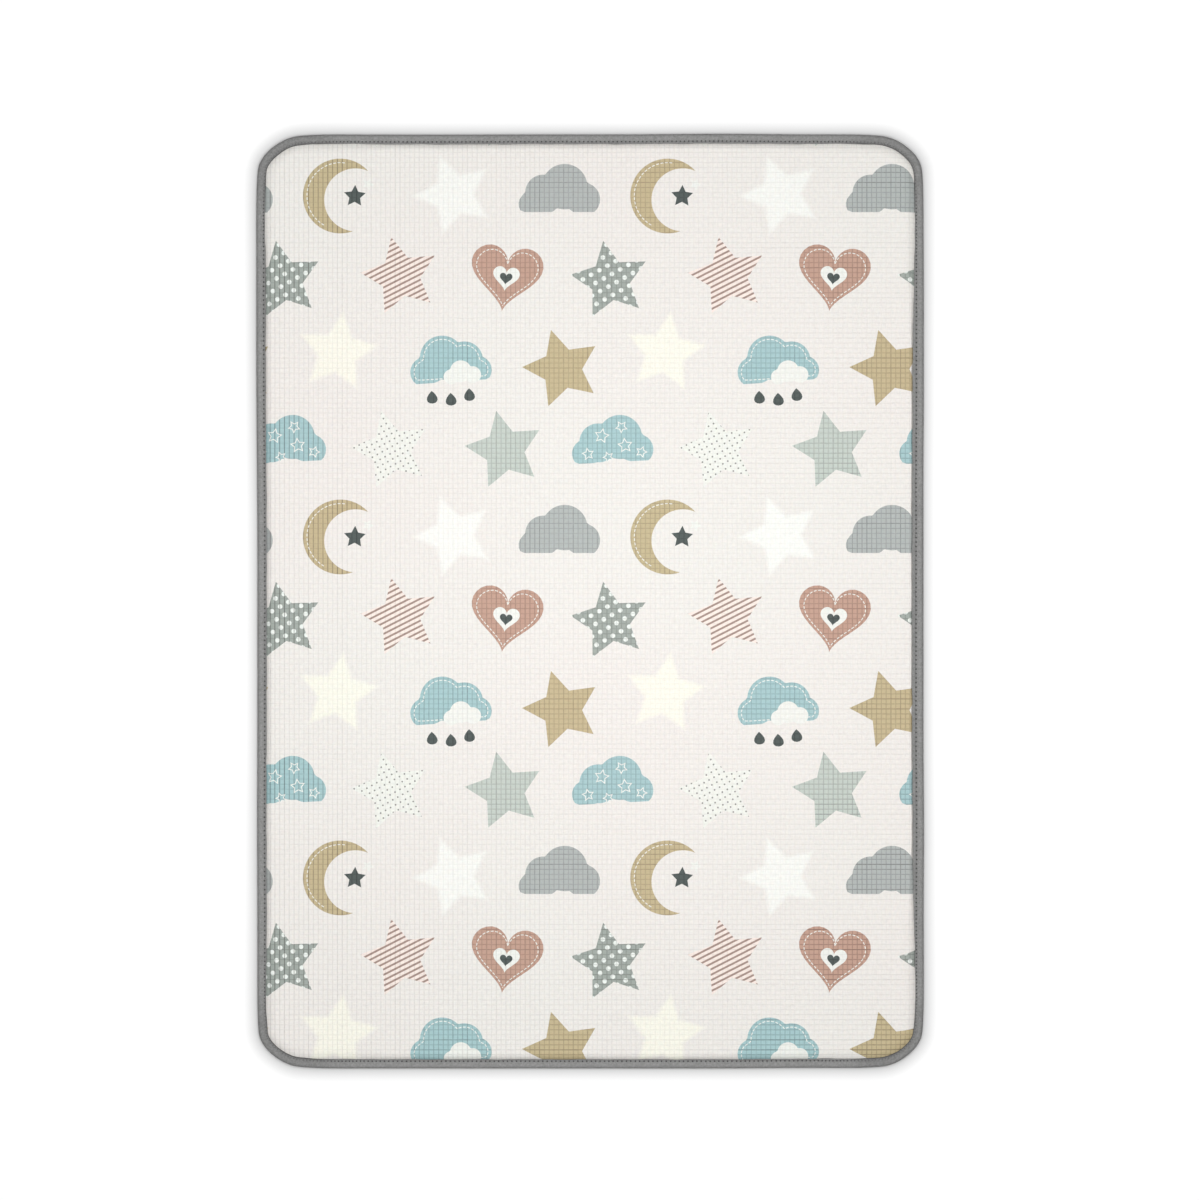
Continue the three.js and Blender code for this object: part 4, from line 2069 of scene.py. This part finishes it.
def stitch_tree(half: float = 0.47, steps: int = 6, sides: int = 6) -> bpy.types.NodeTree:
    """Make the Geometry Nodes tree that lays one stitch at each point.

    Args:
        half: How far a stitch reaches each way, beside its length from hole to hole.
        steps: How many steps it takes.
        sides: How many sides the thread has.

    Returns:
        The tree, with inputs for the thread's width, how deep its ends dive and its material.
    """
    tree = bpy.data.node_groups.new("stitches", "GeometryNodeTree")
    for name, kind in (("Geometry", "Geometry"), ("Thread Width", "Float"), ("Dive", "Float"),
                       ("Thread", "Material")):
        tree.interface.new_socket(name, in_out="INPUT", socket_type=f"NodeSocket{kind}")
    tree.interface.new_socket("Geometry", in_out="OUTPUT", socket_type="NodeSocketGeometry")
    nodes = Nodes(tree)
    given = nodes.add("NodeGroupInput")

    def named(name: str) -> bpy.types.Node:
        """Read a vector attribute of the points."""
        return nodes.add("GeometryNodeInputNamedAttribute", {"data_type": "FLOAT_VECTOR"}, {"Name": name})

    width = nodes.number(given, "Thread Width")
    dive = nodes.number(given, "Dive")
    line = nodes.add("GeometryNodeCurveQuadraticBezier", inputs={
        "Resolution": steps,
        "Start": nodes.joined(-half, 0.0, 0 - dive),
        "Middle": nodes.joined(0.0, 0.0, dive),
        "End": nodes.joined(half, 0.0, 0 - dive),
    })
    ring = nodes.add("GeometryNodeCurvePrimitiveCircle", {"mode": "RADIUS"},
                     {"Resolution": sides, "Radius": width / 2})
    stitch = nodes.add("GeometryNodeCurveToMesh", inputs={
        "Curve": line, "Profile Curve": ring, "Fill Caps": True})
    forward = nodes.add("FunctionNodeAlignRotationToVector", {"axis": "X"}, {"Vector": named("heading")})
    upright = nodes.add("FunctionNodeAlignRotationToVector", {"axis": "Z", "pivot_axis": "X"},
                        {"Rotation": forward, "Vector": named("facing")})
    laid = nodes.add("GeometryNodeInstanceOnPoints", inputs={
        "Points": given.outputs["Geometry"],
        "Instance": stitch,
        "Rotation": upright,
        "Scale": named("stretch"),
    })
    real = nodes.add("GeometryNodeRealizeInstances", inputs={0: laid})
    dressed = nodes.add("GeometryNodeSetMaterial", inputs={
        "Geometry": real, "Material": given.outputs["Thread"]})
    nodes.add("NodeGroupOutput", inputs={0: dressed})
    return tree


def realized(source: bpy.types.Object, tree: bpy.types.NodeTree,
             inputs: dict[str, object]) -> bpy.types.Object:
    """Run a Geometry Nodes tree on an object and keep the result as a plain mesh.

    Args:
        source: The object, whose mesh is replaced.
        tree: The tree.
        inputs: The tree's inputs by name.

    Returns:
        The same object with its new mesh and no modifier.
    """
    modifier = source.modifiers.new("made", "NODES")
    modifier.node_group = tree
    for item in tree.interface.items_tree:
        if item.item_type == "SOCKET" and item.in_out == "INPUT" and item.name in inputs:
            modifier[item.identifier] = inputs[item.name]
    bpy.context.view_layer.update()
    evaluated = source.evaluated_get(bpy.context.evaluated_depsgraph_get())
    mesh = bpy.data.meshes.new_from_object(evaluated)
    source.modifiers.remove(modifier)
    source.data = mesh
    mesh.polygons.foreach_set("use_smooth", np.full(len(mesh.polygons), True))
    return source


# Studio


@dataclass(frozen=True)
class Studio:
    """The white floor with a painted contact shadow round the mat, the soft light and the camera straight
    above.
    """

    view_width: float = 1.7980
    centre_x: float = 14.8 * MM
    centre_y: float = 1.7 * MM
    camera_height: float = 5.0
    sensor: float = 0.036
    farthest: float = 100.0
    floor: float = 30.0
    horizon: float = 0.1
    overhead: float = 3.5
    overhead_focus: float = 6.0
    panel_place: tuple[float, float, float] = (0.02, 0.05, 1.2)
    panel_width: float = 0.6
    panel_power: float = 4.0
    # The floor's painted contact shadow: its darkest share, how far it reaches, how it falls off and where
    # its rings lie
    shadow: float = 0.44
    shadow_reach: float = 34 * MM
    shadow_fall: float = 1.76
    shadow_pitch: float = 10 * MM
    shadow_stops: tuple[float, ...] = (1, 0.6, 0.3, 0.12, 0, -0.2)

    def _sky(self) -> None:
        """Light the room evenly from all round, brightest overhead, and show it white to the camera."""
        world = bpy.data.worlds.new("soft_room")
        bpy.context.scene.world = world
        world.use_nodes = True
        world.node_tree.nodes.clear()
        nodes = Nodes(world.node_tree)
        way = nodes.add("ShaderNodeTexCoord").outputs["Generated"]
        up = nodes.parts(way)[2].clamped()
        light = self.horizon + self.overhead * up**self.overhead_focus
        seen = nodes.number(nodes.add("ShaderNodeLightPath"), "Is Camera Ray")
        light = light + seen * (1 - light)
        shade = nodes.add("ShaderNodeBackground", inputs={"Color": (1, 1, 1, 1), "Strength": light})
        nodes.add("ShaderNodeOutputWorld", inputs={"Surface": shade})

    def _panel(self) -> None:
        """Hang a soft panel over the mat, so that the light falls off a little to its corners."""
        light = bpy.data.lights.new("panel", "AREA")
        light.shape = "DISK"
        light.size = self.panel_width
        light.energy = self.panel_power
        panel = bpy.data.objects.new("panel", light)
        panel.location = self.panel_place
        panel.visible_camera = False
        bpy.context.scene.collection.objects.link(panel)

    def _floor(self, edge: EdgeLine) -> None:
        """Lay a white floor with a painted contact shadow, a little darker close to the mat.

        Args:
            edge: The mat's edge.
        """
        half = self.floor / 2
        corners = np.array([(-half, -half), (half, -half), (half, half), (-half, half)])
        stations = edge.spaced(self.shadow_pitch)
        rings = [corners, *(stations.inset(-self.shadow_reach * share) for share in self.shadow_stops)]
        flat, triangles, _ = filled(rings, np.empty((0, 2)), [])
        away = np.clip(-edge.insets(flat)[0] / self.shadow_reach, 0, 1)
        floor = mesh_object("studio_floor", np.column_stack([flat, np.zeros(len(flat))]), triangles, False)
        Stored.NUMBER.on(floor.data, "away", "POINT", away)
        finish = Finish("white_floor", Roughness=1.0, Specular_IOR_Level=0.0)
        nearness = 1 - finish.nodes.number(finish.nodes.attribute("away"), "Fac")
        tone = 1 - self.shadow * nearness**self.shadow_fall
        finish.drive("Base Color", finish.nodes.colour(tone, tone, tone))
        floor.data.materials.append(finish.material)

    def _camera(self) -> None:
        """Set the camera straight above, with the mat's far side at the top of the picture."""
        lens = bpy.data.cameras.new("above")
        lens.sensor_width = self.sensor / MM
        lens.lens = self.sensor / MM * (self.camera_height - SIZES.bead_height / 2) / self.view_width
        lens.clip_end = self.farthest
        camera = bpy.data.objects.new("above", lens)
        camera.location = (self.centre_x, self.centre_y, self.camera_height)
        bpy.context.scene.collection.objects.link(camera)
        bpy.context.scene.camera = camera

    def build(self, edge: EdgeLine) -> None:
        """Build the whole studio and keep colours as they are.

        Args:
            edge: The mat's edge.
        """
        self._sky()
        self._panel()
        self._floor(edge)
        self._camera()
        settings = bpy.context.scene.view_settings
        settings.view_transform = "Standard"
        settings.look = "None"


def main() -> None:
    """Build the studio and the mat's pieces, and log each piece's triangles."""
    logging.basicConfig(level=logging.INFO, format="%(name)s: %(message)s")
    edge = EdgeLine(MAT_BOX[1][0] - MAT_BOX[0][0], MAT_BOX[1][1] - MAT_BOX[0][1])
    Studio().build(edge)
    foam = FoamBody(edge).build()
    binding = Binding(edge)
    for piece in (foam, PrintedFace(edge).build(), binding.build(), binding.sew()):
        triangles = sum(len(face.vertices) - 2 for face in piece.data.polygons)
        log.info("%s: %d triangles", piece.name, triangles)


if __name__ == "__main__":
    main()
